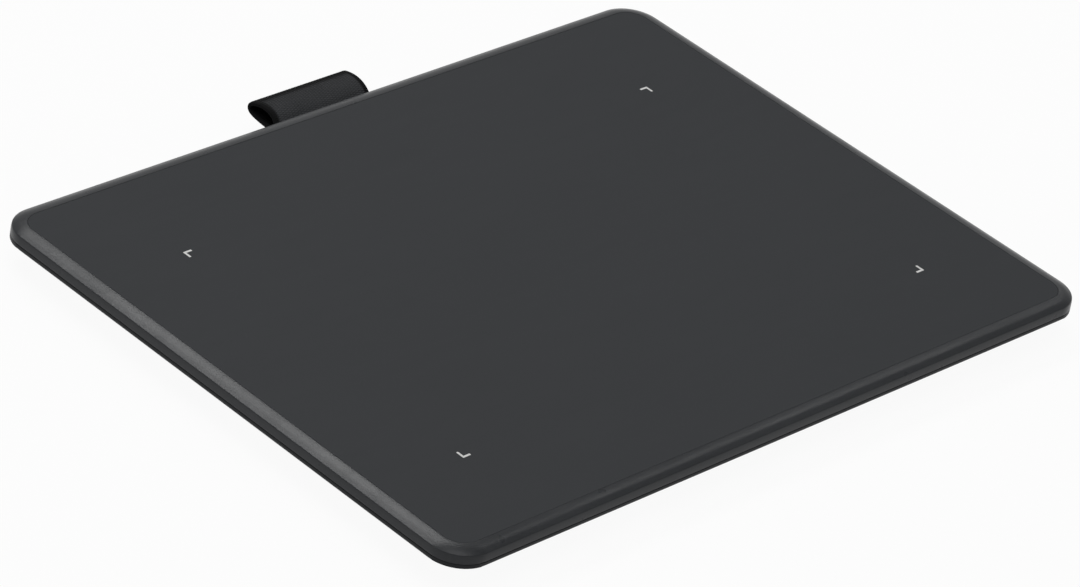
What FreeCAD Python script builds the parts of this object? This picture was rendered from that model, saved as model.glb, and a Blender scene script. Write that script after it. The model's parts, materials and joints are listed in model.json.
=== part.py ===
import FreeCAD, Part
import math
import os
from types import SimpleNamespace

import Sketcher

# A slim drawing tablet: two moulded shells screwed together round a sensing board, with a
# woven pen loop held in a slot of the back edge.
# Plate frame: X to the right, Y to the back edge with the pen loop, Z up from the table.
# The plate is centred on X and Y while it is drawn, and each piece is then moved forward
# by half the reach of the loop, so that the origin lies under the middle of the whole.

os.makedirs("parts", exist_ok=True)
doc = FreeCAD.newDocument("GraphicsTablet")

# Driving dimensions, in millimetres
SIZES = (
    ("sensor_width", 112.0, "sensing board"),
    ("sensor_depth", 72.0, "sensing board"),
    ("side_margin", 16.2, "plate beyond either end of the sensing board"),
    ("front_margin", 16.65, "plate in front of the sensing board"),
    ("back_margin", 20.25, "plate behind the sensing board"),
    ("corner_radius", 6.2, "corner of the outline at the widest line"),
    ("foot_stand", 0.8, "height of the feet below the tray"),
    ("tray_depth", 3.65, "underside of the tray up to the widest line"),
    ("band_height", 0.5, "upright band at the top of the tray's flank"),
    ("seam_gap", 0.12, "groove between the two shells"),
    ("wall_height", 1.78, "upright wall of the top cover"),
    ("wall_lean", 0.2, "how far the wall leans inwards on its way up"),
    ("bevel_width", 2.0, "slope round the top, measured flat"),
    ("bevel_height", 0.55, "slope round the top, measured upright"),
    ("edge_round", 0.3, "rounding of the edges of the slope"),
    ("plate_thickness", 1.2, "top cover over the sensing board"),
    ("skirt_thickness", 1.0, "wall of the top cover at its open edge"),
    ("sheet_land", 0.3, "flat rim left round the drawing sheet"),
    ("sheet_thickness", 0.25, "textured drawing sheet"),
    ("glue_thickness", 0.08, "adhesive film under the drawing sheet"),
    ("fit_gap", 0.1, "play between pieces that slide together"),
    ("shell_gap", 0.3, "wider play round boards and soft pieces"),
    ("floor_inset", 6.3, "how far the flat underside stands in from the outline"),
    ("belly_inset", 3.3, "inset of the flank half way down"),
    ("belly_drop", 2.25, "depth of that line under the widest line"),
    ("floor_radius", 5.0, "corner of the flat underside"),
    ("floor_thickness", 1.2, "floor of the tray"),
    ("inner_step", 0.55, "how much further in the inner side of the flank stands"),
    ("lip_thickness", 1.2, "tongue of the tray inside the skirt"),
    ("lip_height", 0.8, "height of that tongue over the band"),
    ("catch_length", 8.0, "snap catch on the tongue"),
    ("catch_height", 0.4, "height of a catch"),
    ("catch_depth", 0.3, "how far a catch stands out"),
    ("catch_corner", 32.2, "outer catches of the front side, from the short sides"),
    ("catch_side_corner", 29.45, "catches of the short sides, from the long sides"),
    ("catch_strap_gap", 9.5, "catches of the back side, from the pen loop"),
    ("boss_inset", 14.2, "case screws, from the short sides"),
    ("boss_setback", 11.95, "case screws, from the long sides"),
    ("boss_radius", 3.0, "pillar round a case screw"),
    ("joint_drop", 0.65, "where the two pillars meet, below the seam"),
    ("seat_thickness", 1.6, "plastic between the head and the joint of the pillars"),
    ("screw_radius", 0.95, "shank of a case screw"),
    ("screw_length", 3.5, "shank of a case screw under its head"),
    ("head_radius", 1.7, "head of a case screw"),
    ("head_height", 1.0, "head of a case screw"),
    ("foot_length", 16.0, "rubber foot"),
    ("foot_width", 6.0, "rubber foot"),
    ("foot_seat", 0.5, "recess that the foot is stuck in"),
    ("foot_shift", 4.0, "middle of a foot from the screw that it covers"),
    ("rib_thickness", 1.0, "stiffening rib on the floor of the tray"),
    ("rib_height", 1.2, "height of such a rib over the floor"),
    ("rib_pitch", 24.0, "spacing of the ribs"),
    ("board_thickness", 0.8, "both circuit boards"),
    ("shield_thickness", 0.3, "steel sheet under the sensing board"),
    ("shield_strip", 8.0, "back strip of the sensing board that the shield leaves free"),
    ("film_thickness", 0.1, "insulating film under the shield"),
    ("film_margin", 1.0, "how far the film stands in from the shield"),
    ("rail_width", 0.8, "rail that locates the sensing board"),
    ("pad_size", 12.0, "foam pad, square"),
    ("pad_back_inset", 20.2, "back row of foam pads from the back of the sensing board"),
    ("pad_front_inset", 10.8, "front row of foam pads from the front of the sensing board"),
    ("control_drop", 1.05, "underside of the control board below the seam"),
    ("control_clamp_gap", 4.5, "control board from the strap's clamp"),
    ("control_pillar_gap", 0.8, "control board from the pillar of a case screw"),
    ("control_sensor_gap", 2.8, "control board from the sensing board, seen from above"),
    ("control_setback", 3.75, "back edge of the control board inside the outline"),
    ("post_radius", 1.7, "post under the control board"),
    ("screw_left", 3.5, "first board screw from the left end of the control board"),
    ("screw_right", 2.2, "third board screw from the right end"),
    ("screw_port_gap", 2.03, "second board screw from the side of the cable socket"),
    ("screw_back", 8.5, "first two board screws from the front edge"),
    ("screw_front", 5.5, "third board screw from the front edge"),
    ("tiny_radius", 0.75, "shank of a board or clamp screw"),
    ("tiny_head", 1.4, "head radius of a board or clamp screw"),
    ("tiny_height", 0.3, "head height of a board or clamp screw"),
    ("clamp_screw_length", 3.4, "shank of a clamp screw under its head"),
    ("board_screw_length", 2.6, "shank of a board screw under its head"),
    ("port_inset", 9.2, "middle of the cable socket from the right end of its board"),
    ("port_width", 8.94, "metal shell of the cable socket"),
    ("port_height", 3.2, "metal shell of the cable socket"),
    ("port_length", 7.3, "metal shell of the cable socket"),
    ("port_wall", 0.3, "sheet of that shell"),
    ("port_sink", 0.35, "middle of the shell below the middle of the control board"),
    ("port_setback", 0.55, "mouth of the socket behind the outline"),
    ("port_margin", 1.75, "housing beside the cable socket"),
    ("housing_wall", 0.9, "walls of that housing"),
    ("housing_setback", 0.4, "face of that housing behind the outline"),
    ("tab_width", 1.2, "tabs of the shell that rest on the control board"),
    ("tongue_width", 6.7, "tongue inside the cable socket"),
    ("tongue_thickness", 0.7, "tongue inside the cable socket"),
    ("tongue_length", 4.5, "tongue inside the cable socket"),
    ("tongue_root", 1.9, "block that carries the tongue"),
    ("contact_pitch", 0.5, "spacing of the contacts"),
    ("contact_width", 0.25, "one contact"),
    ("contact_thickness", 0.08, "one contact"),
    ("contact_setback", 0.35, "bare plastic before and behind a contact"),
    ("dimple_radius", 0.22, "dimple that marks the first pin of a chip"),
    ("dimple_depth", 0.1, "such a dimple"),
    ("dimple_inset", 0.55, "such a dimple from two edges of the chip"),
    ("strap_width", 21.5, "webbing of the pen loop"),
    ("strap_thickness", 0.8, "webbing of the pen loop, one layer"),
    ("strap_drop", 0.75, "middle of the webbing below the seam"),
    ("loop_reach", 8.7, "how far the pen loop stands out behind the outline"),
    ("loop_rise", 1.9, "crown of the pen loop over the webbing in the slot"),
    ("climb_reach", 2.47, "run in which the loop's upper side would climb to its crown"),
    ("tip_radius", 1.25, "outer bend of the pen loop"),
    ("under_radius", 26.0, "lower bend of the pen loop"),
    ("hinge_reach", 0.6, "line on which the loop flexes, behind the outline"),
    ("tail_margin", 0.3, "webbing that reaches past the steel strip"),
    ("clamp_margin", 1.0, "steel strip beyond either side of the webbing"),
    ("clamp_depth", 4.5, "steel strip over the webbing"),
    ("clamp_thickness", 0.3, "steel strip over the webbing"),
    ("clamp_setback", 6.2, "middle of that strip inside the outline"),
    ("clamp_screw_x", 7.5, "clamp screws, sideways from the middle"),
    ("socket_width", 10.0, "ribbon socket"),
    ("socket_depth", 3.0, "ribbon socket"),
    ("socket_height", 0.9, "ribbon socket"),
    ("ribbon_left", 13.5, "middle of the ribbon from the left end of the control board"),
    ("ribbon_width", 8.0, "ribbon between the two boards"),
    ("ribbon_thickness", 0.2, "ribbon between the two boards"),
)

# What the small electronic parts measure, and where their middle is from the front left
# corner of the control board, or in the second table from its front right corner
PART_WORDS = ("length", "width", "height", "side", "back", "spacing")
LEFT_PARTS = (
    ("microcontroller", 7.0, 7.0, 0.9, 11.0, 7.5),
    ("signal_amplifier", 5.0, 5.0, 0.85, 4.2, 3.1),
    ("crystal", 3.2, 2.5, 0.8, 19.6, 5.8),
    ("capacitors", 1.0, 0.5, 0.5, 1.2, 6.4, 1.6),
)
RIGHT_PARTS = (
    ("voltage_regulator", 2.9, 1.6, 0.9, 12.2, 3.0),
    ("resistors", 0.5, 1.0, 0.4, 8.2, 2.2, 1.2),
)
# The chips of the sensing board, from its left end and its back edge
SENSOR_PARTS = (
    ("coil_switches", 6.4, 4.4, 0.9, 9.0, 4.0, 15.7),
)
CAPACITOR_COUNT = 4
RESISTOR_COUNT = 3
SWITCH_COUNT = 4
CONTACT_COUNT = 12
RIB_COUNT = 5

# The cross recess in a screw's head, as shares of the head
RECESS_SHARE = 0.5
SLOT_SHARE = 0.25

CORNERS = ((1, 1), (-1, 1), (-1, -1), (1, -1))


class Size:
    """A length that keeps its number and the words that it is worked out from."""

    def __init__(self, number, words):
        self.number = float(number)
        self.words = words

    def joined(self, other, sign, number):
        return Size(number, f"({self.words} {sign} {words_of(other)})")

    def __add__(self, other):
        return self.joined(other, "+", self.number + number_of(other))

    def __sub__(self, other):
        return self.joined(other, "-", self.number - number_of(other))

    def __mul__(self, other):
        return self.joined(other, "*", self.number * number_of(other))

    def __truediv__(self, other):
        return self.joined(other, "/", self.number / number_of(other))

    def __rsub__(self, other):
        return Size(other, repr(other)) - self

    def __neg__(self):
        return Size(-self.number, f"(0 - {self.words})")

    __radd__ = __add__
    __rmul__ = __mul__


def number_of(value):
    return value.number if isinstance(value, Size) else float(value)


def words_of(value):
    return value.words if isinstance(value, Size) else repr(value)


def part_rows():
    """The sizes and places of the small electronic parts, one row each."""
    for label, *values in LEFT_PARTS + RIGHT_PARTS + SENSOR_PARTS:
        for word, value in zip(PART_WORDS, values):
            yield f"{label}_{word}", value, f"{word} of the {label.replace('_', ' ')}"


def write_sizes(table):
    """Put the driving dimensions into the spreadsheet and return them by name."""
    sheet = doc.addObject("Spreadsheet::Sheet", "Sizes")
    named = SimpleNamespace()
    for row, (alias, value, meaning) in enumerate(table, start=1):
        sheet.set(f"A{row}", meaning)
        sheet.set(f"B{row}", str(value))
        sheet.setAlias(f"B{row}", alias)
        setattr(named, alias, Size(value, f"Sizes.{alias}"))
    doc.recompute()
    return named


s = write_sizes([*SIZES, *part_rows()])

# Heights over the table
floor_level = s.foot_stand
inner_floor = floor_level + s.floor_thickness
rim_level = s.foot_stand + s.tray_depth
seam_level = rim_level + s.band_height
skirt_level = seam_level + s.seam_gap
shoulder_level = skirt_level + s.wall_height
top_level = shoulder_level + s.bevel_height
recess_level = top_level - s.sheet_thickness - s.glue_thickness
ceiling_level = recess_level - s.plate_thickness
sensor_level = ceiling_level - s.board_thickness
shield_level = sensor_level - s.shield_thickness
film_level = shield_level - s.film_thickness
control_level = seam_level - s.control_drop
control_top = control_level + s.board_thickness
strap_level = seam_level - s.strap_drop
strap_top = strap_level + s.strap_thickness
strap_bottom = strap_level - s.strap_thickness
belly_level = rim_level - s.belly_drop
joint_level = seam_level - s.joint_drop
seat_level = joint_level - s.seat_thickness

# Places on the plate
case_width = s.sensor_width + s.side_margin * 2
case_depth = s.sensor_depth + s.front_margin + s.back_margin
back_edge = case_depth / 2
lip_inset = s.skirt_thickness + s.fit_gap
tray_inset = lip_inset + s.lip_thickness
port_mouth = back_edge - s.port_setback
port_middle = control_level + s.board_thickness / 2 - s.port_sink
sensor_y = (s.front_margin - s.back_margin) / 2
sensor_back = sensor_y + s.sensor_depth / 2
sensor_front = sensor_y - s.sensor_depth / 2
shield_depth = s.sensor_depth - s.shield_strip
shield_y = sensor_y - s.shield_strip / 2
boss_x = case_width / 2 - s.boss_inset
boss_y = back_edge - s.boss_setback
clamp_width = s.strap_width + s.clamp_margin * 2
clamp_y = back_edge - s.clamp_setback
tail_start = clamp_y - s.clamp_depth / 2 - s.tail_margin
control_left = clamp_width / 2 + s.control_clamp_gap
control_right = boss_x - s.boss_radius - s.control_pillar_gap
control_front = sensor_back + s.control_sensor_gap
control_back = back_edge - s.control_setback
port_x = control_right - s.port_inset
ribbon_x = control_left + s.ribbon_left
forward = -s.loop_reach / 2


def bind(thing, name, size):
    """Set a property of an object to a size, and keep it tied to the sheet."""
    thing.setExpression(name, words_of(size))


def place(thing, x=0, y=0, z=0):
    for axis, size in (("x", x), ("y", y), ("z", z)):
        bind(thing, f"Placement.Base.{axis}", size)


# Sketches

def new_body(name):
    return doc.addObject("PartDesign::Body", name)


def new_sketch(body, name, role="XY_Plane", level=0):
    """A sketch on an origin plane of its own body, raised along the plane's normal."""
    sketch = body.newObject("Sketcher::SketchObject", name)
    plane = next(item for item in body.Origin.OriginFeatures if item.Role == role)
    sketch.AttachmentSupport = [(plane, "")]
    sketch.MapMode = "FlatFace"
    bind(sketch, "AttachmentOffset.Base.z", level)
    return sketch


def measure(sketch, size, kind, *where):
    """Add a dimension to a sketch and tie it to the sheet."""
    index = sketch.addConstraint(Sketcher.Constraint(kind, *where, number_of(size)))
    name = f"size_{index}"
    sketch.renameConstraint(index, name)
    bind(sketch, f"Constraints.{name}", size)


def relate(sketch, kind, *where):
    sketch.addConstraint(Sketcher.Constraint(kind, *where))


def locate(sketch, item, point, x, y):
    """Hold a point of a sketch at x, y from the sketch's origin."""
    for line, kind, distance in ((-2, "DistanceX", x), (-1, "DistanceY", y)):
        if number_of(distance) == 0:
            relate(sketch, "PointOnObject", item, point, line)
        elif number_of(distance) > 0:
            measure(sketch, distance, kind, -1, 1, item, point)
        else:
            measure(sketch, -distance, kind, item, point, -1, 1)


def draw_line(sketch, start, end):
    first = FreeCAD.Vector(*start, 0)
    last = FreeCAD.Vector(*end, 0)
    return sketch.addGeometry(Part.LineSegment(first, last), False)


def draw_arc(sketch, centre, radius, begin, end):
    """An arc that runs counter-clockwise between two angles in degrees."""
    circle = Part.Circle(FreeCAD.Vector(*centre, 0), FreeCAD.Vector(0, 0, 1), radius)
    arc = Part.ArcOfCircle(circle, math.radians(begin), math.radians(end))
    return sketch.addGeometry(arc, False)


def centre_on(sketch, item, other, x, y):
    """Hold the middle between two points, the starts of two lines, at x, y."""
    if number_of(x) == 0 and number_of(y) == 0:
        relate(sketch, "Symmetric", item, 1, other, 1, -1, 1)
        return
    spot = Part.Point(FreeCAD.Vector(number_of(x), number_of(y), 0))
    middle = sketch.addGeometry(spot, True)
    relate(sketch, "Symmetric", item, 1, other, 1, middle, 1)
    locate(sketch, middle, 1, x, y)


def draw_rounded(sketch, width, depth, radius, x=0, y=0):
    """A rectangle with rounded corners about x, y."""
    half_w = number_of(width) / 2
    half_d = number_of(depth) / 2
    r = number_of(radius)
    cx = number_of(x)
    cy = number_of(y)
    corners = [(cx + i * (half_w - r), cy + j * (half_d - r)) for i, j in
               ((1, -1), (1, 1), (-1, 1), (-1, -1))]
    turns = (-90, 0, 90, 180)
    lines = []
    for number, turn in enumerate(turns):
        behind = corners[number - 1]
        ahead = corners[number]
        out_x = r * round(math.cos(math.radians(turn)))
        out_y = r * round(math.sin(math.radians(turn)))
        lines.append(draw_line(sketch, (behind[0] + out_x, behind[1] + out_y),
                               (ahead[0] + out_x, ahead[1] + out_y)))
    arcs = [draw_arc(sketch, corner, r, turn, turn + 90)
            for corner, turn in zip(corners, turns)]
    for number, (line, arc) in enumerate(zip(lines, arcs)):
        relate(sketch, "Tangent", line, 2, arc, 1)
        relate(sketch, "Tangent", arc, 2, lines[(number + 1) % len(lines)], 1)
    for line in lines[0::2]:
        relate(sketch, "Horizontal", line)
    for line in lines[1::2]:
        relate(sketch, "Vertical", line)
    for arc in arcs[1:]:
        relate(sketch, "Equal", arcs[0], arc)
    measure(sketch, radius, "Radius", arcs[0])
    measure(sketch, width, "DistanceX", lines[3], 1, lines[1], 1)
    measure(sketch, depth, "DistanceY", lines[0], 1, lines[2], 1)
    centre_on(sketch, lines[0], lines[2], x, y)


def draw_slot(sketch, length, width, x=0, y=0):
    """A slot with round ends about x, y, its length along the sketch's first axis."""
    r = number_of(width) / 2
    reach = number_of(length) / 2 - r
    cx = number_of(x)
    cy = number_of(y)
    lower = draw_line(sketch, (cx - reach, cy - r), (cx + reach, cy - r))
    right = draw_arc(sketch, (cx + reach, cy), r, -90, 90)
    upper = draw_line(sketch, (cx + reach, cy + r), (cx - reach, cy + r))
    left = draw_arc(sketch, (cx - reach, cy), r, 90, 270)
    ring = (lower, right, upper, left)
    for number, piece in enumerate(ring):
        relate(sketch, "Tangent", piece, 2, ring[(number + 1) % len(ring)], 1)
    relate(sketch, "Horizontal", lower)
    measure(sketch, width / 2, "Radius", right)
    measure(sketch, length - width, "DistanceX", lower, 1, lower, 2)
    centre_on(sketch, lower, upper, x, y)


def draw_circle(sketch, radius, x=0, y=0):
    centre = FreeCAD.Vector(number_of(x), number_of(y), 0)
    item = sketch.addGeometry(Part.Circle(centre, FreeCAD.Vector(0, 0, 1), number_of(radius)), False)
    locate(sketch, item, 3, x, y)
    measure(sketch, radius, "Radius", item)


# Features

def tip_volume(body):
    shape = body.Tip.Shape if body.Tip else None
    return shape.Volume if shape and not shape.isNull() else 0.0


def finish_feature(body, feature, before, grows):
    """Recompute, and stop if a feature changed nothing or went the wrong way."""
    doc.recompute()
    change = tip_volume(body) - before
    if not feature.isValid() or change == 0 or (change > 0) != grows:
        raise RuntimeError(f"{feature.Label}: volume changed by {change:.4f}")
    return feature


def pad(body, name, sketch, length, down=False, both=False):
    before = tip_volume(body)
    feature = body.newObject("PartDesign::Pad", name)
    feature.Refine = False
    feature.Profile = sketch
    feature.Reversed = down
    feature.Midplane = both
    bind(feature, "Length", length)
    return finish_feature(body, feature, before, True)


def pocket(body, name, sketch, depth, up=False):
    before = tip_volume(body)
    feature = body.newObject("PartDesign::Pocket", name)
    feature.Refine = False
    feature.Profile = sketch
    feature.Reversed = up
    bind(feature, "Length", depth)
    return finish_feature(body, feature, before, False)


def loft(body, name, sketches, adds=True):
    before = tip_volume(body)
    kind = "PartDesign::AdditiveLoft" if adds else "PartDesign::SubtractiveLoft"
    feature = body.newObject(kind, name)
    feature.Profile = sketches[0]
    feature.Sections = sketches[1:]
    feature.Ruled = True
    feature.Refine = False
    return finish_feature(body, feature, before, adds)


def level_edges(shape, height):
    """Names of the edges that lie flat at a height."""
    names = []
    for number, edge in enumerate(shape.Edges, start=1):
        box = edge.BoundBox
        if abs(box.ZMin - height) < 1e-5 and abs(box.ZMax - height) < 1e-5:
            names.append(f"Edge{number}")
    return names


def checked(solid_count, thing):
    """Recompute one object and stop if it didn't give its solids."""
    doc.recompute()
    found = len(thing.Shape.Solids)
    if found != solid_count:
        raise RuntimeError(f"{thing.Label}: {found} solids, not {solid_count}")
    return thing


# Part primitives

def box(name, length, width, height, x, y, z):
    """A block with its middle at x, y and its underside at z."""
    thing = doc.addObject("Part::Box", name)
    bind(thing, "Length", length)
    bind(thing, "Width", width)
    bind(thing, "Height", height)
    place(thing, x - length / 2, y - width / 2, z)
    return thing


def rod(name, radius, height, x, y, z):
    """An upright cylinder about x, y with its underside at z."""
    thing = doc.addObject("Part::Cylinder", name)
    bind(thing, "Radius", radius)
    bind(thing, "Height", height)
    place(thing, x, y, z)
    return thing


def cut(name, base, tool):
    thing = doc.addObject("Part::Cut", name)
    thing.Base = base
    thing.Tool = tool
    return thing


def fuse(name, pieces):
    thing = doc.addObject("Part::MultiFuse", name)
    thing.Shapes = pieces
    return thing


def group(name, pieces):
    thing = doc.addObject("Part::Compound", name)
    thing.Links = pieces
    return thing


def pan_screw(name, head_radius, head_height, radius, length, x, y, seat, up):
    """A screw whose head lies on a seat and whose shank points up or down from it."""
    head_level = seat - head_height if up else seat
    shank_level = seat if up else seat - length
    head = rod(f"{name}_head", head_radius, head_height, x, y, head_level)
    shank = rod(f"{name}_shank", radius, length, x, y, shank_level)
    whole = fuse(f"{name}_blank", [head, shank])
    depth = head_height * RECESS_SHARE
    slot = head_radius * SLOT_SHARE
    floor = head_level if up else seat + head_height - depth
    wide = box(f"{name}_slot_a", head_radius, slot, depth, x, y, floor)
    deep = box(f"{name}_slot_b", slot, head_radius, depth, x, y, floor)
    return cut(name, whole, fuse(f"{name}_cross", [wide, deep]))


# What the sub-parts share

SUBPARTS = []


def subpart(label, thing, solids=1):
    """Name a finished piece, merge its split faces and move it with the rest of the plate."""
    thing.Label = label
    if thing.TypeId == "PartDesign::Body":
        thing.Tip.Refine = True
    bind(thing, "Placement.Base.y", forward)
    SUBPARTS.append(thing)
    return checked(solids, thing)


def slope_angle(run, rise):
    """The taper of a pad whose wall leans in by a run over a rise."""
    degrees = -math.degrees(math.atan(run.number / rise.number))
    return Size(degrees, f"-atan({run.words} / {rise.words})")


def draw_plate(body, name, level, inset, radius):
    """The outline of the case at a height, drawn in by an inset."""
    sketch = new_sketch(body, name, level=level)
    draw_rounded(sketch, case_width - inset * 2, case_depth - inset * 2, radius)
    return sketch


def draw_spots(body, name, level, radius, spots):
    """Equal circles at a height."""
    sketch = new_sketch(body, name, level=level)
    for x, y in spots:
        draw_circle(sketch, radius, x, y)
    return sketch


def draw_boxes(sketch, boxes):
    """Rectangles given as width, depth and the place of their middle."""
    for width, depth, x, y in boxes:
        w = number_of(width) / 2
        d = number_of(depth) / 2
        cx = number_of(x)
        cy = number_of(y)
        points = [(cx - w, cy - d), (cx + w, cy - d), (cx + w, cy + d), (cx - w, cy + d)]
        lines = [draw_line(sketch, points[i], points[(i + 1) % 4]) for i in range(4)]
        for i in range(4):
            relate(sketch, "Coincident", lines[i], 2, lines[(i + 1) % 4], 1)
        relate(sketch, "Horizontal", lines[0])
        relate(sketch, "Horizontal", lines[2])
        relate(sketch, "Vertical", lines[1])
        relate(sketch, "Vertical", lines[3])
        measure(sketch, width, "DistanceX", lines[0], 1, lines[0], 2)
        measure(sketch, depth, "DistanceY", lines[1], 1, lines[1], 2)
        centre_on(sketch, lines[0], lines[2], x, y)


case_screw_spots = [(boss_x * i, boss_y * j) for i, j in CORNERS]
foot_spots = [((boss_x - s.foot_shift) * i, boss_y * j) for i, j in CORNERS]
clamp_screw_spots = [(s.clamp_screw_x * i, clamp_y) for i in (-1, 1)]
board_screw_spots = [
    (control_left + s.screw_left, control_front + s.screw_back),
    (port_x - s.port_width / 2 - s.screw_port_gap, control_front + s.screw_back),
    (control_right - s.screw_right, control_front + s.screw_front),
]


def catch_boxes(extra):
    """The snap catches, or with extra room their windows in the skirt."""
    length = s.catch_length + extra * 2
    depth = s.catch_depth * 2 + extra * 2
    across = back_edge - lip_inset
    along = case_width / 2 - lip_inset
    front_x = case_width / 2 - s.catch_corner
    back_x = s.strap_width / 2 + s.catch_strap_gap + s.catch_length / 2
    side_y = back_edge - s.catch_side_corner
    boxes = [(length, depth, front_x * i, -across) for i in (-1, 0, 1)]
    boxes += [(length, depth, back_x * i, across) for i in (-1, 1)]
    boxes += [(depth, length, along * i, side_y * j) for i, j in CORNERS]
    return boxes


def cut_slot_for_strap(body, depth):
    """Open the back wall where the webbing goes in."""
    sketch = new_sketch(body, "StrapSlot", "XZ_Plane", -back_edge - s.loop_reach)
    draw_rounded(sketch, s.strap_width + s.shell_gap * 2,
                 (s.strap_thickness + s.shell_gap) * 2, s.shell_gap, 0, strap_level)
    pocket(body, "StrapSlotCut", sketch, s.loop_reach + depth, up=True)


def cut_mouth_for_port(body, depth):
    """Open the back wall for the cable socket."""
    sketch = new_sketch(body, "PortMouth", "XZ_Plane", -back_edge - s.loop_reach)
    draw_slot(sketch, s.port_width + s.fit_gap * 4, s.port_height + s.fit_gap * 4,
              port_x, port_middle)
    pocket(body, "PortMouthCut", sketch, s.loop_reach + depth, up=True)


def shoulder_of(shape):
    """The height of the lower edge of the bevel."""
    heights = sorted({round(edge.BoundBox.ZMax, 5) for edge in shape.Edges
                      if edge.BoundBox.ZMax - edge.BoundBox.ZMin < 1e-5})
    return heights[1]


def make_top_cover():
    """The upper shell: a leaning wall, a bevel, the sheet's recess, rails and pillars."""
    body = new_body("TopCover")
    wall = draw_plate(body, "CoverOutline", skirt_level, 0, s.corner_radius)
    height = s.wall_height + s.bevel_height
    wall_pad = pad(body, "CoverBlock", wall, height)
    bind(wall_pad, "TaperAngle", slope_angle(s.wall_lean, height))
    doc.recompute()

    bevel = body.newObject("PartDesign::Chamfer", "TopBevel")
    bevel.Base = (wall_pad, level_edges(wall_pad.Shape, number_of(top_level)))
    bevel.ChamferType = "Two distances"
    bind(bevel, "Size", s.bevel_height)
    bind(bevel, "Size2", s.bevel_width)
    doc.recompute()
    if not level_edges(bevel.Shape, number_of(top_level)):
        raise RuntimeError("the bevel has no upper edge")

    soft = body.newObject("PartDesign::Fillet", "SoftEdges")
    upper = level_edges(bevel.Shape, number_of(top_level))
    lower = level_edges(bevel.Shape, shoulder_of(bevel.Shape))
    soft.Base = (bevel, upper + lower)
    bind(soft, "Radius", s.edge_round)
    doc.recompute()

    sheet_inset = s.wall_lean + s.bevel_width + s.sheet_land
    seat = draw_plate(body, "SheetSeat", top_level, sheet_inset, s.corner_radius - sheet_inset)
    pocket(body, "SheetRecess", seat, top_level - recess_level)
    hollow = draw_plate(body, "CoverHollow", skirt_level, s.skirt_thickness,
                        s.corner_radius - s.skirt_thickness)
    pocket(body, "CoverCavity", hollow, ceiling_level - skirt_level, up=True)

    rails = new_sketch(body, "SensorRails", level=ceiling_level)
    draw_boxes(rails, [(s.sensor_width + edge * 2, s.sensor_depth + edge * 2, 0, sensor_y)
                       for edge in (s.shell_gap, s.shell_gap + s.rail_width)])
    pad(body, "SensorRailPad", rails, s.board_thickness, down=True)

    pillars = draw_spots(body, "CoverPillars", ceiling_level, s.boss_radius, case_screw_spots)
    pad(body, "CoverPillarPads", pillars, ceiling_level - joint_level, down=True)
    holes = draw_spots(body, "CoverPilots", joint_level, s.screw_radius + s.fit_gap / 2,
                       case_screw_spots)
    reach = s.screw_length - s.seat_thickness + s.fit_gap
    pocket(body, "CoverPilotHoles", holes, reach, up=True)

    windows = new_sketch(body, "CatchWindows", level=seam_level + s.fit_gap * 2)
    draw_boxes(windows, catch_boxes(s.fit_gap))
    pocket(body, "CatchWindowCuts", windows, s.catch_height + s.fit_gap * 3, up=True)

    cut_slot_for_strap(body, tray_inset)
    cut_mouth_for_port(body, tray_inset)
    return subpart("top_cover", body)


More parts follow.
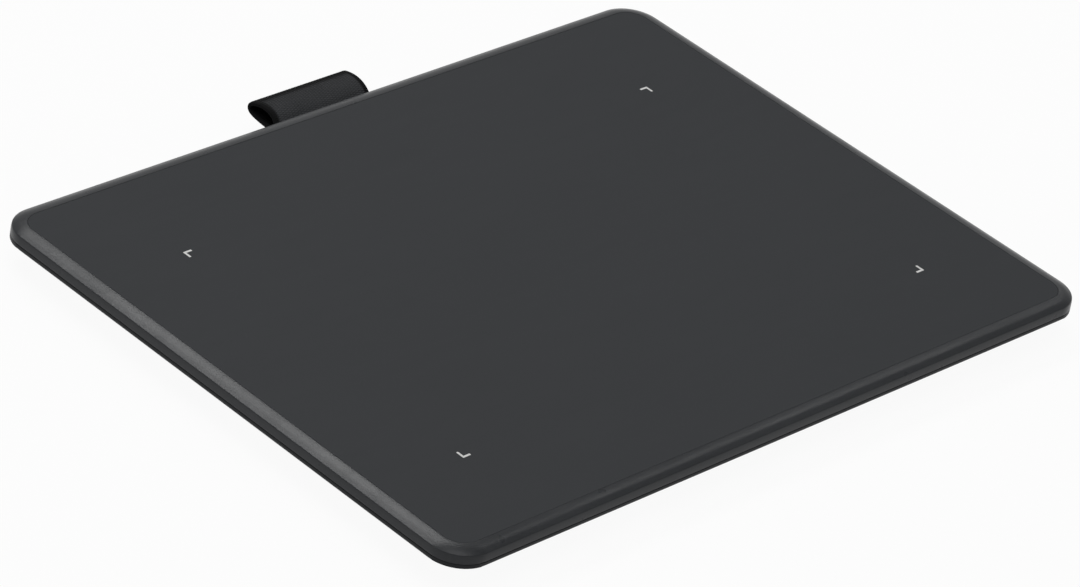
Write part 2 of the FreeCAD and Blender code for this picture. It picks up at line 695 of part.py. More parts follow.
def make_bottom_cover():
    """The tray: a sloping flank, a tongue with catches, and a seat for all that it holds."""
    body = new_body("BottomCover")
    belly_radius = (s.corner_radius + s.floor_radius) / 2
    outer = [
        draw_plate(body, "FloorOutline", floor_level, s.floor_inset, s.floor_radius),
        draw_plate(body, "BellyOutline", belly_level, s.belly_inset, belly_radius),
        draw_plate(body, "RimOutline", rim_level, 0, s.corner_radius),
    ]
    loft(body, "Flank", outer)
    band = draw_plate(body, "BandOutline", rim_level, 0, s.corner_radius)
    pad(body, "Band", band, s.band_height)
    lip = draw_plate(body, "LipOutline", seam_level, lip_inset, s.corner_radius - lip_inset)
    pad(body, "Lip", lip, s.lip_height)

    step = s.inner_step
    inner = [
        draw_plate(body, "InnerFloor", inner_floor, s.floor_inset + step, s.floor_radius - step),
        draw_plate(body, "InnerBelly", belly_level + s.floor_thickness, s.belly_inset + step,
                   belly_radius - step),
        draw_plate(body, "InnerRim", rim_level, tray_inset, s.corner_radius - tray_inset),
    ]
    loft(body, "Basin", inner, adds=False)
    shaft = draw_plate(body, "BasinMouth", rim_level, tray_inset, s.corner_radius - tray_inset)
    pocket(body, "BasinMouthCut", shaft, s.band_height + s.lip_height, up=True)

    ribs = new_sketch(body, "FirstRib", level=inner_floor)
    draw_boxes(ribs, [(s.rib_thickness, shield_depth, s.rib_pitch * (1 - RIB_COUNT) / 2,
                       shield_y)])
    rib = pad(body, "Rib", ribs, s.rib_height)
    rows = body.newObject("PartDesign::LinearPattern", "Ribs")
    rows.Originals = [rib]
    rows.Direction = (ribs, ["H_Axis"])
    rows.Mode = "Spacing"
    rows.Occurrences = RIB_COUNT
    bind(rows, "Offset", s.rib_pitch)
    body.Tip = rows
    doc.recompute()

    pillars = draw_spots(body, "TrayPillars", inner_floor, s.boss_radius, case_screw_spots)
    pad(body, "TrayPillarPads", pillars, joint_level - inner_floor)
    posts = draw_spots(body, "BoardPosts", inner_floor, s.post_radius, board_screw_spots)
    pad(body, "BoardPostPads", posts, control_level - inner_floor)
    ledge = new_sketch(body, "ClampLedge", level=inner_floor)
    ledge_back = back_edge - s.belly_inset - step
    ledge_front = tail_start - s.shell_gap
    draw_boxes(ledge, [(clamp_width, ledge_back - ledge_front, 0,
                        (ledge_back + ledge_front) / 2)])
    pad(body, "ClampLedgePad", ledge, strap_bottom - inner_floor)

    house = new_sketch(body, "PortHousing", "XZ_Plane", s.housing_setback - back_edge)
    house_width = s.port_width + s.port_margin * 2
    house_low = port_middle - s.port_height / 2 - s.fit_gap * 2 - s.housing_wall
    draw_rounded(house, house_width, seam_level - house_low, s.housing_wall,
                 port_x, (seam_level + house_low) / 2)
    pad(body, "PortHousingBlock", house, s.floor_inset)
    room = new_sketch(body, "PortRoom", level=seam_level + s.lip_height)
    room_back = back_edge - s.housing_setback - s.housing_wall
    room_depth = s.floor_inset + s.port_margin
    draw_boxes(room, [(house_width - s.housing_wall * 2, room_depth, port_x,
                       room_back - room_depth / 2)])
    pocket(body, "PortRoomCut", room,
           seam_level + s.lip_height - house_low - s.housing_wall)
    step_down = new_sketch(body, "BoardRoom", level=seam_level)
    step_back = control_back + s.shell_gap
    step_front = back_edge - s.housing_setback - s.floor_inset - s.fit_gap
    draw_boxes(step_down, [(house_width + s.fit_gap * 2, step_back - step_front, port_x,
                            (step_back + step_front) / 2)])
    pocket(body, "BoardRoomCut", step_down, seam_level - control_level + s.fit_gap)
    cut_mouth_for_port(body, s.floor_inset / 2)

    cut_slot_for_strap(body, s.belly_inset + step)
    tiny_hole = s.tiny_radius + s.fit_gap / 2
    pins = draw_spots(body, "ClampPilots", strap_bottom, tiny_hole, clamp_screw_spots)
    drop = s.clamp_screw_length - s.clamp_thickness - s.strap_thickness * 2 + s.fit_gap
    pocket(body, "ClampPilotHoles", pins, drop)
    pins = draw_spots(body, "BoardPilots", control_level, tiny_hole, board_screw_spots)
    pocket(body, "BoardPilotHoles", pins,
           s.board_screw_length - s.board_thickness + s.fit_gap)

    catches = new_sketch(body, "Catches", level=seam_level + s.fit_gap * 3)
    draw_boxes(catches, catch_boxes(0))
    pad(body, "CatchPads", catches, s.catch_height)

    feet = new_sketch(body, "FootSeats", level=floor_level)
    for x, y in foot_spots:
        draw_slot(feet, s.foot_length + s.fit_gap * 2, s.foot_width + s.fit_gap * 2, x, y)
    pocket(body, "FootSeatCuts", feet, s.foot_seat, up=True)
    heads = draw_spots(body, "HeadWells", floor_level, s.head_radius + s.fit_gap * 2,
                       case_screw_spots)
    pocket(body, "HeadWellCuts", heads, seat_level - floor_level, up=True)
    holes = draw_spots(body, "ScrewHoles", seat_level, s.screw_radius + s.fit_gap * 2,
                       case_screw_spots)
    pocket(body, "ScrewHoleCuts", holes, s.seat_thickness, up=True)
    return subpart("bottom_cover", body)


def make_drawing_surface():
    """The adhesive film and the textured sheet that fill the recess of the top cover."""
    inset = s.wall_lean + s.bevel_width + s.sheet_land
    radius = s.corner_radius - inset
    film = new_body("SheetGlue")
    outline = draw_plate(film, "GlueOutline", recess_level, inset + s.fit_gap * 2, radius)
    pad(film, "GlueFilm", outline, s.glue_thickness)
    subpart("surface_adhesive", film)
    sheet = new_body("DrawingSheet")
    level = recess_level + s.glue_thickness
    outline = draw_plate(sheet, "SheetOutline", level, inset + s.fit_gap, radius)
    pad(sheet, "SheetPad", outline, s.sheet_thickness)
    subpart("drawing_surface", sheet)


def make_sensor_stack():
    """The sensing board under the top cover, with its steel shield and insulating film."""
    board = new_body("SensorBoard")
    outline = new_sketch(board, "SensorOutline", level=sensor_level)
    draw_boxes(outline, [(s.sensor_width, s.sensor_depth, 0, sensor_y)])
    pad(board, "SensorPad", outline, s.board_thickness)
    subpart("sensor_board", board)

    shield = new_body("Shield")
    outline = new_sketch(shield, "ShieldOutline", level=shield_level)
    draw_boxes(outline, [(s.sensor_width, shield_depth, 0, shield_y)])
    pad(shield, "ShieldPad", outline, s.shield_thickness)
    subpart("shield_plate", shield)

    film = new_body("Film")
    outline = new_sketch(film, "FilmOutline", level=film_level)
    draw_boxes(outline, [(s.sensor_width - s.film_margin * 2,
                          shield_depth - s.film_margin * 2, 0, shield_y)])
    pad(film, "FilmPad", outline, s.film_thickness)
    subpart("insulating_film", film)

    pads = []
    for row in (sensor_back - s.pad_back_inset, sensor_front + s.pad_front_inset):
        for column in range(RIB_COUNT - 1):
            pads.append(box("FoamPad", s.pad_size, s.pad_size, film_level - inner_floor,
                            s.rib_pitch * (column + 1 - RIB_COUNT / 2), row, inner_floor))
    subpart("foam_pads", group("FoamPads", pads), len(pads))


def size_of(label):
    """The length, width and height of a small electronic part."""
    return [getattr(s, f"{label}_{word}") for word in ("length", "width", "height")]


def place_of(label):
    """Where the middle of such a part is on the control board."""
    side = getattr(s, f"{label}_side")
    from_left = label in [row[0] for row in LEFT_PARTS]
    x = control_left + side if from_left else control_right - side
    return x, control_front + getattr(s, f"{label}_back")


def make_chip(label):
    """A moulded chip on the control board with a small round dimple at its first pin."""
    x, y = place_of(label)
    length, width, height = size_of(label)
    case = box(f"{label}_case", length, width, height, x, y, control_top)
    dimple = rod(f"{label}_dimple", s.dimple_radius, s.dimple_depth,
                 x - length / 2 + s.dimple_inset, y - width / 2 + s.dimple_inset,
                 control_top + height - s.dimple_depth)
    subpart(label, cut(f"{label}_cut", case, dimple))


def make_control_board():
    """The control board with its chips, the cable socket's notch and its screw holes."""
    board = new_body("ControlBoard")
    outline = new_sketch(board, "ControlOutline", level=control_level)
    length = control_right - control_left
    width = control_back - control_front
    draw_boxes(outline, [(length, width, control_left + length / 2,
                          control_front + width / 2)])
    pad(board, "ControlPad", outline, s.board_thickness)
    notch = new_sketch(board, "PortNotch", level=control_top)
    notch_front = port_mouth - s.port_length - s.shell_gap
    notch_depth = back_edge - notch_front
    draw_boxes(notch, [(s.port_width + s.fit_gap * 4, notch_depth, port_x,
                        notch_front + notch_depth / 2)])
    pocket(board, "PortNotchCut", notch, s.board_thickness)
    holes = draw_spots(board, "BoardHoles", control_top, s.tiny_radius + s.fit_gap,
                       board_screw_spots)
    pocket(board, "BoardHoleCuts", holes, s.board_thickness)
    subpart("control_board", board)

    for label in ("microcontroller", "signal_amplifier"):
        make_chip(label)
    for label, count in (("voltage_regulator", 1), ("crystal", 1),
                         ("capacitors", CAPACITOR_COUNT), ("resistors", RESISTOR_COUNT)):
        x, y = place_of(label)
        spacing = getattr(s, f"{label}_spacing", 0)
        pieces = [box(f"{label}_part", *size_of(label), x + spacing * number, y, control_top)
                  for number in range(count)]
        subpart(label, group(f"{label}_row", pieces), count)


def make_coil_switches():
    """The chips behind the sensing board's coils, on the strip that the shield leaves free."""
    size = size_of("coil_switches")
    x = s.coil_switches_side - s.sensor_width / 2
    y = sensor_back - s.coil_switches_back
    switches = [box("switch", *size, x + s.coil_switches_spacing * number, y,
                    sensor_level - s.coil_switches_height) for number in range(SWITCH_COUNT)]
    subpart("coil_switches", group("SwitchRow", switches), SWITCH_COUNT)


def make_cable_socket():
    """The metal shell, the tongue and the contacts of the socket for a cable."""
    shell = new_body("PortShell")
    mouth = new_sketch(shell, "ShellOutline", "XZ_Plane", -port_mouth)
    draw_slot(mouth, s.port_width, s.port_height, port_x, port_middle)
    pad(shell, "ShellBlock", mouth, s.port_length)
    tabs = new_sketch(shell, "ShellTabs", level=control_top)
    reach = s.port_height / 4 + s.tab_width
    tab_x = s.port_width / 2 - s.port_height / 4 + reach / 2
    tab_y = control_back - s.tab_width * 2
    draw_boxes(tabs, [(reach, s.tab_width, port_x + tab_x * i, tab_y) for i in (-1, 1)])
    pad(shell, "ShellTabPads", tabs, s.port_wall)
    inside = new_sketch(shell, "ShellInside", "XZ_Plane", -port_mouth)
    inner_width = s.port_width - s.port_wall * 2
    inner_height = s.port_height - s.port_wall * 2
    draw_slot(inside, inner_width, inner_height, port_x, port_middle)
    pocket(shell, "ShellHollow", inside, s.port_length - s.port_wall, up=True)
    subpart("usb_shell", shell)

    back = port_mouth - s.port_length + s.port_wall
    tongue = new_body("PortTongue")
    block = new_sketch(tongue, "TongueBlock", "XZ_Plane", -back - s.tongue_root)
    draw_slot(block, inner_width - s.fit_gap, inner_height - s.fit_gap, port_x, port_middle)
    pad(tongue, "TongueRoot", block, s.tongue_root)
    blade = new_sketch(tongue, "TongueBlade", "XZ_Plane",
                       -back - s.tongue_root - s.tongue_length)
    draw_boxes(blade, [(s.tongue_width, s.tongue_thickness, port_x, port_middle)])
    pad(tongue, "TonguePad", blade, s.tongue_length + s.tongue_root / 2)
    subpart("usb_tongue", tongue)

    pieces = []
    for face in (s.tongue_thickness / 2, -s.tongue_thickness / 2 - s.contact_thickness):
        for number in range(CONTACT_COUNT):
            pieces.append(box("Contact", s.contact_width,
                              s.tongue_length - s.contact_setback * 2, s.contact_thickness,
                              port_x + s.contact_pitch * (number - (CONTACT_COUNT - 1) / 2),
                              back + s.tongue_root + s.tongue_length / 2,
                              port_middle + face))
    subpart("usb_contacts", group("Contacts", pieces), len(pieces))


def make_ribbon():
    """Two ribbon sockets and the flat cable that steps up between them."""
    half = s.socket_depth / 2
    sensor_y = sensor_back - half - s.shell_gap
    control_y = control_front + half + s.shell_gap * 2
    mouth_height = s.ribbon_thickness + s.fit_gap * 2
    levels = (sensor_level - s.socket_height / 2, control_top + s.socket_height / 2)
    for label, y, middle, side in (("sensor_ribbon_socket", sensor_y, levels[0], 1),
                                   ("control_ribbon_socket", control_y, levels[1], -1)):
        case = box(f"{label}_case", s.socket_width, s.socket_depth, s.socket_height,
                   ribbon_x, y, middle - s.socket_height / 2)
        mouth = box(f"{label}_mouth", s.ribbon_width + s.fit_gap * 2, s.socket_depth,
                    mouth_height, ribbon_x, y + half * side, middle - mouth_height / 2)
        subpart(label, cut(f"{label}_cut", case, mouth))

    ribbon = new_body("Ribbon")
    start_y = sensor_y + s.fit_gap
    run = half + s.shell_gap
    route = new_sketch(ribbon, "RibbonRoute", "YZ_Plane", ribbon_x)
    y0 = number_of(start_y)
    y1 = number_of(start_y + run)
    y2 = number_of(control_y - s.fit_gap - run)
    y3 = number_of(control_y - s.fit_gap)
    z0 = number_of(levels[0])
    z1 = number_of(levels[1])
    turn = 2 * math.atan((z1 - z0) / (y2 - y1))
    bend = (y2 - y1) / (2 * math.sin(turn))
    degrees = math.degrees(turn)
    first = draw_line(route, (y0, z0), (y1, z0))
    lower = draw_arc(route, (y1, z0 + bend), bend, -90, degrees - 90)
    upper = draw_arc(route, (y2, z1 - bend), bend, 90, degrees + 90)
    last = draw_line(route, (y2, z1), (y3, z1))
    relate(route, "Tangent", first, 2, lower, 1)
    relate(route, "Tangent", lower, 2, upper, 2)
    relate(route, "Tangent", upper, 1, last, 1)
    relate(route, "Equal", lower, upper)
    relate(route, "Horizontal", first)
    relate(route, "Horizontal", last)
    locate(route, first, 1, start_y, levels[0])
    locate(route, last, 2, control_y - s.fit_gap, levels[1])
    measure(route, run, "DistanceX", first, 1, first, 2)
    measure(route, run, "DistanceX", last, 1, last, 2)
    section = new_sketch(ribbon, "RibbonSection", "XZ_Plane", -start_y)
    draw_boxes(section, [(s.ribbon_width, s.ribbon_thickness, ribbon_x, levels[0])])
    sweep = ribbon.newObject("PartDesign::AdditivePipe", "RibbonSweep")
    sweep.Profile = section
    sweep.Spine = (route, ["Edge1", "Edge2", "Edge3", "Edge4"])
    finish_feature(ribbon, sweep, 0.0, True)
    subpart("ribbon_cable", ribbon)


def make_fasteners():
    """The screws of the case, of the control board and of the strap's clamp."""
    case_screws = [pan_screw(f"case_screw_{i}", s.head_radius, s.head_height, s.screw_radius,
                             s.screw_length, x, y, seat_level, up=True)
                   for i, (x, y) in enumerate(case_screw_spots)]
    subpart("case_screws", group("CaseScrews", case_screws), len(case_screws))
    board_screws = [pan_screw(f"board_screw_{i}", s.tiny_head, s.tiny_height, s.tiny_radius,
                              s.board_screw_length, x, y, control_top, up=False)
                    for i, (x, y) in enumerate(board_screw_spots)]
    subpart("board_screws", group("BoardScrews", board_screws), len(board_screws))
    clamp_top = strap_top + s.clamp_thickness
    clamp_screws = [pan_screw(f"clamp_screw_{i}", s.tiny_head, s.tiny_height, s.tiny_radius,
                              s.clamp_screw_length, x, y, clamp_top, up=False)
                    for i, (x, y) in enumerate(clamp_screw_spots)]
    subpart("clamp_screws", group("ClampScrews", clamp_screws), len(clamp_screws))


def make_feet():
    """Four soft feet, stuck in their recesses over the heads of the case screws."""
    feet = []
    for x, y in foot_spots:
        foot = new_body("Foot")
        outline = new_sketch(foot, "FootOutline")
        draw_slot(outline, s.foot_length, s.foot_width, x, y)
        pad(foot, "FootPad", outline, s.foot_stand + s.foot_seat)
        feet.append(foot)
    subpart("rubber_feet", group("Feet", feet), len(feet))


def crown_radius(run, drop, tip, slant):
    """The arc that meets a climbing line, a level line and the circle round the loop's tip.

    run goes from the corner of the two lines to the middle of the tip, drop from the level
    line down to that middle, and slant is the tangent of half the climb.
    """
    half = slant * run + drop - tip
    rest = run ** 2 + drop ** 2 - tip ** 2
    return (half - math.sqrt(half ** 2 - slant ** 2 * rest)) / slant ** 2


def make_pen_loop():
    """The webbing: a flattened loop outside and a doubled tail in the clamp."""
    hinge_y = back_edge + s.hinge_reach
    root_y = hinge_y + s.strap_thickness
    tip_y = back_edge + s.loop_reach - s.tip_radius
    sketch = doc.addObject("Sketcher::SketchObject", "LoopOutline")
    sketch.Placement = FreeCAD.Placement(
        FreeCAD.Vector(0, 0, 0), FreeCAD.Rotation(0.5, 0.5, 0.5, 0.5))
    y0 = number_of(root_y)
    low = number_of(strap_bottom)
    high = number_of(strap_top)
    tip = s.tip_radius.number
    under = s.under_radius.number
    tip_cy = number_of(tip_y)
    tip_cz = low + under - math.sqrt((under - tip) ** 2 - (tip_cy - y0) ** 2)
    crown_level = strap_top + s.loop_rise
    crown_z = number_of(crown_level)
    climb_angle = math.atan2(s.loop_rise.number, s.climb_reach.number)
    crown = crown_radius(tip_cy - y0 - s.climb_reach.number, crown_z - tip_cz, tip,
                         math.tan(climb_angle / 2))
    crown_cy = y0 + s.climb_reach.number + crown * math.tan(climb_angle / 2)
    crown_cz = crown_z - crown
    touch = climb_angle + math.pi / 2
    touch_y = crown_cy + crown * math.cos(touch)
    touch_z = crown_cz + crown * math.sin(touch)
    turn_low = math.degrees(math.atan2(tip_cz - low - under, tip_cy - y0))
    turn_high = math.degrees(math.atan2(tip_cz - crown_cz, tip_cy - crown_cy))
    root = draw_line(sketch, (y0, high), (y0, low))
    belly = draw_arc(sketch, (y0, low + under), under, -90, turn_low)
    nose = draw_arc(sketch, (tip_cy, tip_cz), tip, turn_low, turn_high)
    top = draw_arc(sketch, (crown_cy, crown_cz), crown, turn_high, math.degrees(touch))
    slope = draw_line(sketch, (touch_y, touch_z), (y0, high))
    ceiling = draw_line(sketch, (y0 + s.climb_reach.number, crown_z), (crown_cy, crown_z))
    sketch.setConstruction(ceiling, True)
    relate(sketch, "Vertical", root)
    relate(sketch, "Coincident", root, 2, belly, 1)
    relate(sketch, "Vertical", root, 2, belly, 3)
    relate(sketch, "Tangent", belly, 2, nose, 1)
    relate(sketch, "Tangent", nose, 2, top, 1)
    relate(sketch, "Tangent", top, 2, slope, 1)
    relate(sketch, "Coincident", slope, 2, root, 1)
    relate(sketch, "Horizontal", ceiling)
    relate(sketch, "Tangent", ceiling, top)
    relate(sketch, "PointOnObject", ceiling, 1, slope)
    relate(sketch, "Vertical", ceiling, 2, top, 3)
    locate(sketch, root, 2, root_y, strap_bottom)
    locate(sketch, ceiling, 1, root_y + s.climb_reach, crown_level)
    measure(sketch, s.strap_thickness * 2, "DistanceY", root, 2, root, 1)
    measure(sketch, s.under_radius, "Radius", belly)
    measure(sketch, s.tip_radius, "Radius", nose)
    measure(sketch, tip_y, "DistanceX", -1, 1, nose, 3)
    ring = doc.addObject("Part::Offset2D", "LoopRing")
    ring.Source = sketch
    ring.Mode = "Pipe"
    ring.Join = "Intersection"
    ring.Fill = True
    bind(ring, "Value", -s.strap_thickness)
    band = doc.addObject("Part::Extrusion", "LoopBand")
    band.Base = ring
    band.DirMode = "Custom"
    band.Dir = FreeCAD.Vector(1, 0, 0)
    band.Solid = True
    band.Symmetric = True
    bind(band, "LengthFwd", s.strap_width)
    play = doc.addObject("Part::Cylinder", "LoopPlay")
    play.Placement.Rotation = FreeCAD.Rotation(FreeCAD.Vector(0, 1, 0), 90)
    bind(play, "Radius", s.strap_thickness + s.shell_gap)
    bind(play, "Height", s.strap_width * 2)
    place(play, -s.strap_width, hinge_y, strap_level)
    subpart("pen_loop", cut("PenLoop", band, play))

    tail = new_body("StrapTail")
    shape = new_sketch(tail, "TailOutline", "YZ_Plane")
    half = s.strap_thickness
    y0 = number_of(tail_start)
    y1 = number_of(hinge_y)
    lower = draw_line(shape, (y0, low), (y1, low))
    nose = draw_arc(shape, (y1, number_of(strap_level)), half.number, -90, 90)
    upper = draw_line(shape, (y1, high), (y0, high))
    end = draw_line(shape, (y0, high), (y0, low))
    relate(shape, "Tangent", lower, 2, nose, 1)
    relate(shape, "Tangent", nose, 2, upper, 1)
    relate(shape, "Coincident", upper, 2, end, 1)
    relate(shape, "Coincident", end, 2, lower, 1)
    relate(shape, "Horizontal", lower)
    relate(shape, "Horizontal", upper)
    relate(shape, "Vertical", end)
    locate(shape, nose, 3, hinge_y, strap_level)
    measure(shape, half, "Radius", nose)
    measure(shape, hinge_y - tail_start, "DistanceX", lower, 1, lower, 2)
    pad(tail, "TailPad", shape, s.strap_width, both=True)
    holes = draw_spots(tail, "TailHoles", strap_top, s.tiny_radius + s.fit_gap,
                       clamp_screw_spots)
    pocket(tail, "TailHoleCuts", holes, s.strap_thickness * 2)
    subpart("strap_tail", tail)

    bar = new_body("ClampBar")
    outline = new_sketch(bar, "ClampOutline", level=strap_top)
    draw_boxes(outline, [(clamp_width, s.clamp_depth, 0, clamp_y)])
    pad(bar, "ClampPad", outline, s.clamp_thickness)
    holes = draw_spots(bar, "ClampHoles", strap_top + s.clamp_thickness,
                       s.tiny_radius + s.fit_gap, clamp_screw_spots)
    pocket(bar, "ClampHoleCuts", holes, s.clamp_thickness)
    subpart("clamp_bar", bar)


make_top_cover()
make_bottom_cover()
make_drawing_surface()
make_sensor_stack()
make_control_board()
make_coil_switches()
make_cable_socket()
make_ribbon()
make_fasteners()
make_feet()
make_pen_loop()

for thing in doc.Objects:
    if "Invalid" in thing.State or "Error" in thing.State:
        raise RuntimeError(f"{thing.Label} failed: {thing.State}")
for thing in SUBPARTS:
    shape = thing.Shape
    if shape.isNull() or not shape.isValid():
        raise RuntimeError(f"{thing.Label} has no sound shape")
for thing in SUBPARTS:
    thing.Shape.exportStep(f"parts/{thing.Label}.step")
    print(thing.Label, len(thing.Shape.Solids), round(thing.Shape.Volume, 2))
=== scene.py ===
import json
import math

import bmesh
import bpy
from bpy.props import FloatProperty, FloatVectorProperty, IntProperty, PointerProperty
from bpy.types import Operator, Panel, PropertyGroup
from mathutils import Matrix, Vector


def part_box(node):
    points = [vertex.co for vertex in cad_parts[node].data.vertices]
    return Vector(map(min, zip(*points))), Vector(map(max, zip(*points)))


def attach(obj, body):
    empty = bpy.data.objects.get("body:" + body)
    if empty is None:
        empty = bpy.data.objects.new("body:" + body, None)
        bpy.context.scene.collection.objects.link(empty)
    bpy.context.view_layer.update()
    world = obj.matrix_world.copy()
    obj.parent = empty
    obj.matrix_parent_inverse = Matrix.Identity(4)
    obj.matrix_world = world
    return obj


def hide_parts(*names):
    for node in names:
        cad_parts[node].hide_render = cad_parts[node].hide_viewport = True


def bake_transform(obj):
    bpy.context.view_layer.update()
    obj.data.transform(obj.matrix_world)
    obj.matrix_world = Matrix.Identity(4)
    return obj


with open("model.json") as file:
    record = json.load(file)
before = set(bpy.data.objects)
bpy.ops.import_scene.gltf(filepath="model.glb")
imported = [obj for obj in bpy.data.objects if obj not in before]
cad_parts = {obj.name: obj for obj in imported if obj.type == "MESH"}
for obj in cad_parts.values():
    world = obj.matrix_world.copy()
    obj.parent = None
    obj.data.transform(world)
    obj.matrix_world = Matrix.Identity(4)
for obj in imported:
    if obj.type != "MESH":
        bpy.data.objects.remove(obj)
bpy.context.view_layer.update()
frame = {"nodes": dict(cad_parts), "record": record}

bl_info = {
    "name": "Graphics tablet",
    "version": (1, 0, 0),
    "blender": (4, 5, 0),
    "location": "View3D > Sidebar > Tablet",
    "description": "Dresses the packed frame of a slim drawing tablet",
    "category": "Object",
}

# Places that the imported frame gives
PLATE_LOW, PLATE_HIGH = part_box("bottom_cover")
COVER_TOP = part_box("top_cover")[1].z
SHEET_LOW, SHEET_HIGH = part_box("drawing_surface")
FEET_LOW, FEET_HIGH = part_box("rubber_feet")
PORT_LOW, PORT_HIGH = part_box("usb_shell")
LOOP_LOW, LOOP_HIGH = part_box("pen_loop")
TAIL_LOW, TAIL_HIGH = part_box("strap_tail")
PLATE_MIDDLE = (PLATE_LOW + PLATE_HIGH) / 2
PLATE_SPAN = PLATE_HIGH - PLATE_LOW
BACK_EDGE = PLATE_HIGH.y
SLOT_COLOURS = {row["slot"]: row["base_color"] for row in frame["record"]["materials"]}

MM = 0.001

# Two levels nearer than this are the same level
FLAT = 1e-5

# Edges this near the outline belong to the outermost ring of a shell
EDGE_BAND = 0.1 * MM

# A cutter reaches this far past the wall that it opens
CUT_PAST = 3 * MM

# Two faces this far apart can't fall into one plane when two pieces are combined
STEP_BACK = 0.03 * MM

# The long faces of the shells are cut across at about this pitch
FACE_PITCH = 12 * MM

# Faces that meet at a smaller angle, in radians, are one flat face
CREASE = 0.05

# Two directions with at least this cosine between them are the same direction
ALIGNED = 0.999

# The webbing is this much wider than the frame's own strap
STRAP_EXTRA = 0.4 * MM

# Where the painted shade on the bend at the loop's tip ends and the painted light of the face
# begins, as a share of the way from the tip to the crown
BEND_END = 0.67

# The floor's span in metres, how far it lies under the feet so that the two stay apart in a
# view from below, and how much plain white a viewer sees in it over its shadows
FLOOR_SPAN = 6.0
FLOOR_DROP = 0.02 * MM
FLOOR_GLOW = 0.94

# The outside of the upper shell, in millimetres: how far inside the plate's outline, and how
# high over the table, from the foot of the wall to the land round the sheet
WALL = ((0.0, 5.45), (0.01, 5.9), (0.03, 6.22), (0.06, 6.5), (0.11, 6.73))
SLOPE = ((0.95, 7.08), (1.25, 7.177), (1.6, 7.265), (1.95, 7.33), (2.25, 7.371),
         (2.42, 7.389))

# The outer and the inner side of the tray's flank below the rim, in the same way, and how far
# inside the outline the tray's floor begins
FLANK = ((0.55, 4.02), (1.7, 3.26), (3.3, 2.2), (4.85, 1.42), (6.3, 0.8))
HOLLOW = (3.85, 3.36)
FLOOR_START = 6.85

# The outer side of the webbing, in millimetres: how far behind the plate's back edge, and
# how high over the table, from the lower end in the clamp round to the upper end
LOOP_OUTLINE = (
    (-8.75, 3.42), (-6.0, 3.42), (-3.0, 3.42), (-0.6, 3.42), (1.2, 3.44), (2.68, 3.47),
    (3.96, 3.53), (5.24, 3.64), (6.5, 3.81), (7.4, 4.06), (7.98, 4.4), (8.29, 4.84),
    (8.36, 5.34), (8.25, 5.8), (7.92, 6.18), (7.45, 6.41), (6.2, 6.66), (4.93, 6.73),
    (3.51, 6.52), (2.24, 5.95), (1.2, 5.22), (-0.6, 4.98), (-3.0, 4.98), (-6.0, 4.98),
    (-8.75, 4.98),
)


def length(label, meaning, default):
    """A size in metres that a user may change."""
    return FloatProperty(name=label, description=meaning, default=default, min=0.0,
                         precision=5, unit="LENGTH")


def amount(label, meaning, default, least=0.0):
    """A plain number that a user may change."""
    return FloatProperty(name=label, description=meaning, default=default, min=least)


def lamp_power(label, default):
    """The power of a lamp."""
    return amount(label, "Power in watts", default)


def view_angle(label, meaning, degrees):
    """An angle that a user may change."""
    return FloatProperty(name=label, description=meaning, default=math.radians(degrees),
                         subtype="ANGLE")


def colour(label, meaning, default):
    """A colour that a user may change."""
    return FloatVectorProperty(name=label, description=meaning, default=default, min=0.0,
                               max=1.0, size=3, subtype="COLOR")


class ShellSizes(PropertyGroup):
    """Sizes of the two moulded shells."""

    corner: length("Corner", "Radius of the plate's corners", 6.2 * MM)
    rim_level: length("Rim level", "Height of the widest line over the table", 4.45 * MM)
    seam_level: length("Seam level", "Height of the lower side of the seam", 5.13 * MM)
    skirt_level: length("Skirt level", "Height of the upper side of the seam", 5.22 * MM)
    sheet_play: length("Sheet play", "Room round the drawing sheet", 0.04 * MM)
    recess: length("Recess", "Depth of the seat of the drawing sheet", 0.33 * MM)
    skirt: length("Skirt", "Wall of the upper shell at its open edge", 1.0 * MM)
    ceiling: length("Ceiling", "Height of the inner side of the upper shell", 5.87 * MM)
    shoulder_round: length("Shoulder rounding", "Softness of the outer edge of the slope",
                           0.12 * MM)
    slope_round: length("Slope rounding", "Softness of the change of slope", 0.12 * MM)
    crisp_round: length("Edge rounding", "Softness of the small edges", 0.08 * MM)
    sheet_round: length("Sheet rounding", "Softness of the sheet's edge and of its seat",
                        0.032 * MM)
    rim_round: length("Rim rounding", "Softness of the widest line of the tray", 0.3 * MM)
    base_round: length("Base rounding", "Softness of the edge of the tray's base", 0.4 * MM)
    tongue: length("Tongue", "Height of the tray's tongue over the seam", 0.6 * MM)
    tongue_inset: length("Tongue inset", "Tongue inside the outline", 1.1 * MM)
    tongue_wall: length("Tongue wall", "Thickness of the tongue", 1.2 * MM)
    floor_wall: length("Floor", "Thickness of the tray's floor", 1.2 * MM)


class OpeningSizes(PropertyGroup):
    """Sizes of the openings in the back edge."""

    port_play: length("Socket play", "Room round the cable socket", 0.2 * MM)
    housing_side: length("Housing side", "Housing beside the cable socket", 1.75 * MM)
    housing_setback: length("Housing setback", "Face of the housing inside the outline",
                            0.4 * MM)
    housing_wall: length("Housing wall", "Wall of the housing", 0.9 * MM)
    housing_depth: length("Housing depth", "Housing from front to back", 6.3 * MM)
    housing_round: length("Housing rounding", "Softness of the housing's face", 0.12 * MM)
    port_round: length("Lip rounding", "Softness of the cable socket's lip", 0.07 * MM)
    port_wall: length("Socket wall", "Sheet metal of the cable socket's shell", 0.3 * MM)
    port_depth: length("Socket depth", "Mouth for the socket, from the back edge", 9.0 * MM)
    strap_play: length("Strap play", "Room round the webbing", 0.3 * MM)
    strap_depth: length("Strap depth", "Mouth for the webbing, from the back edge", 6.0 * MM)
    flare: length("Flare", "Chamfer round the mouths", 0.22 * MM)


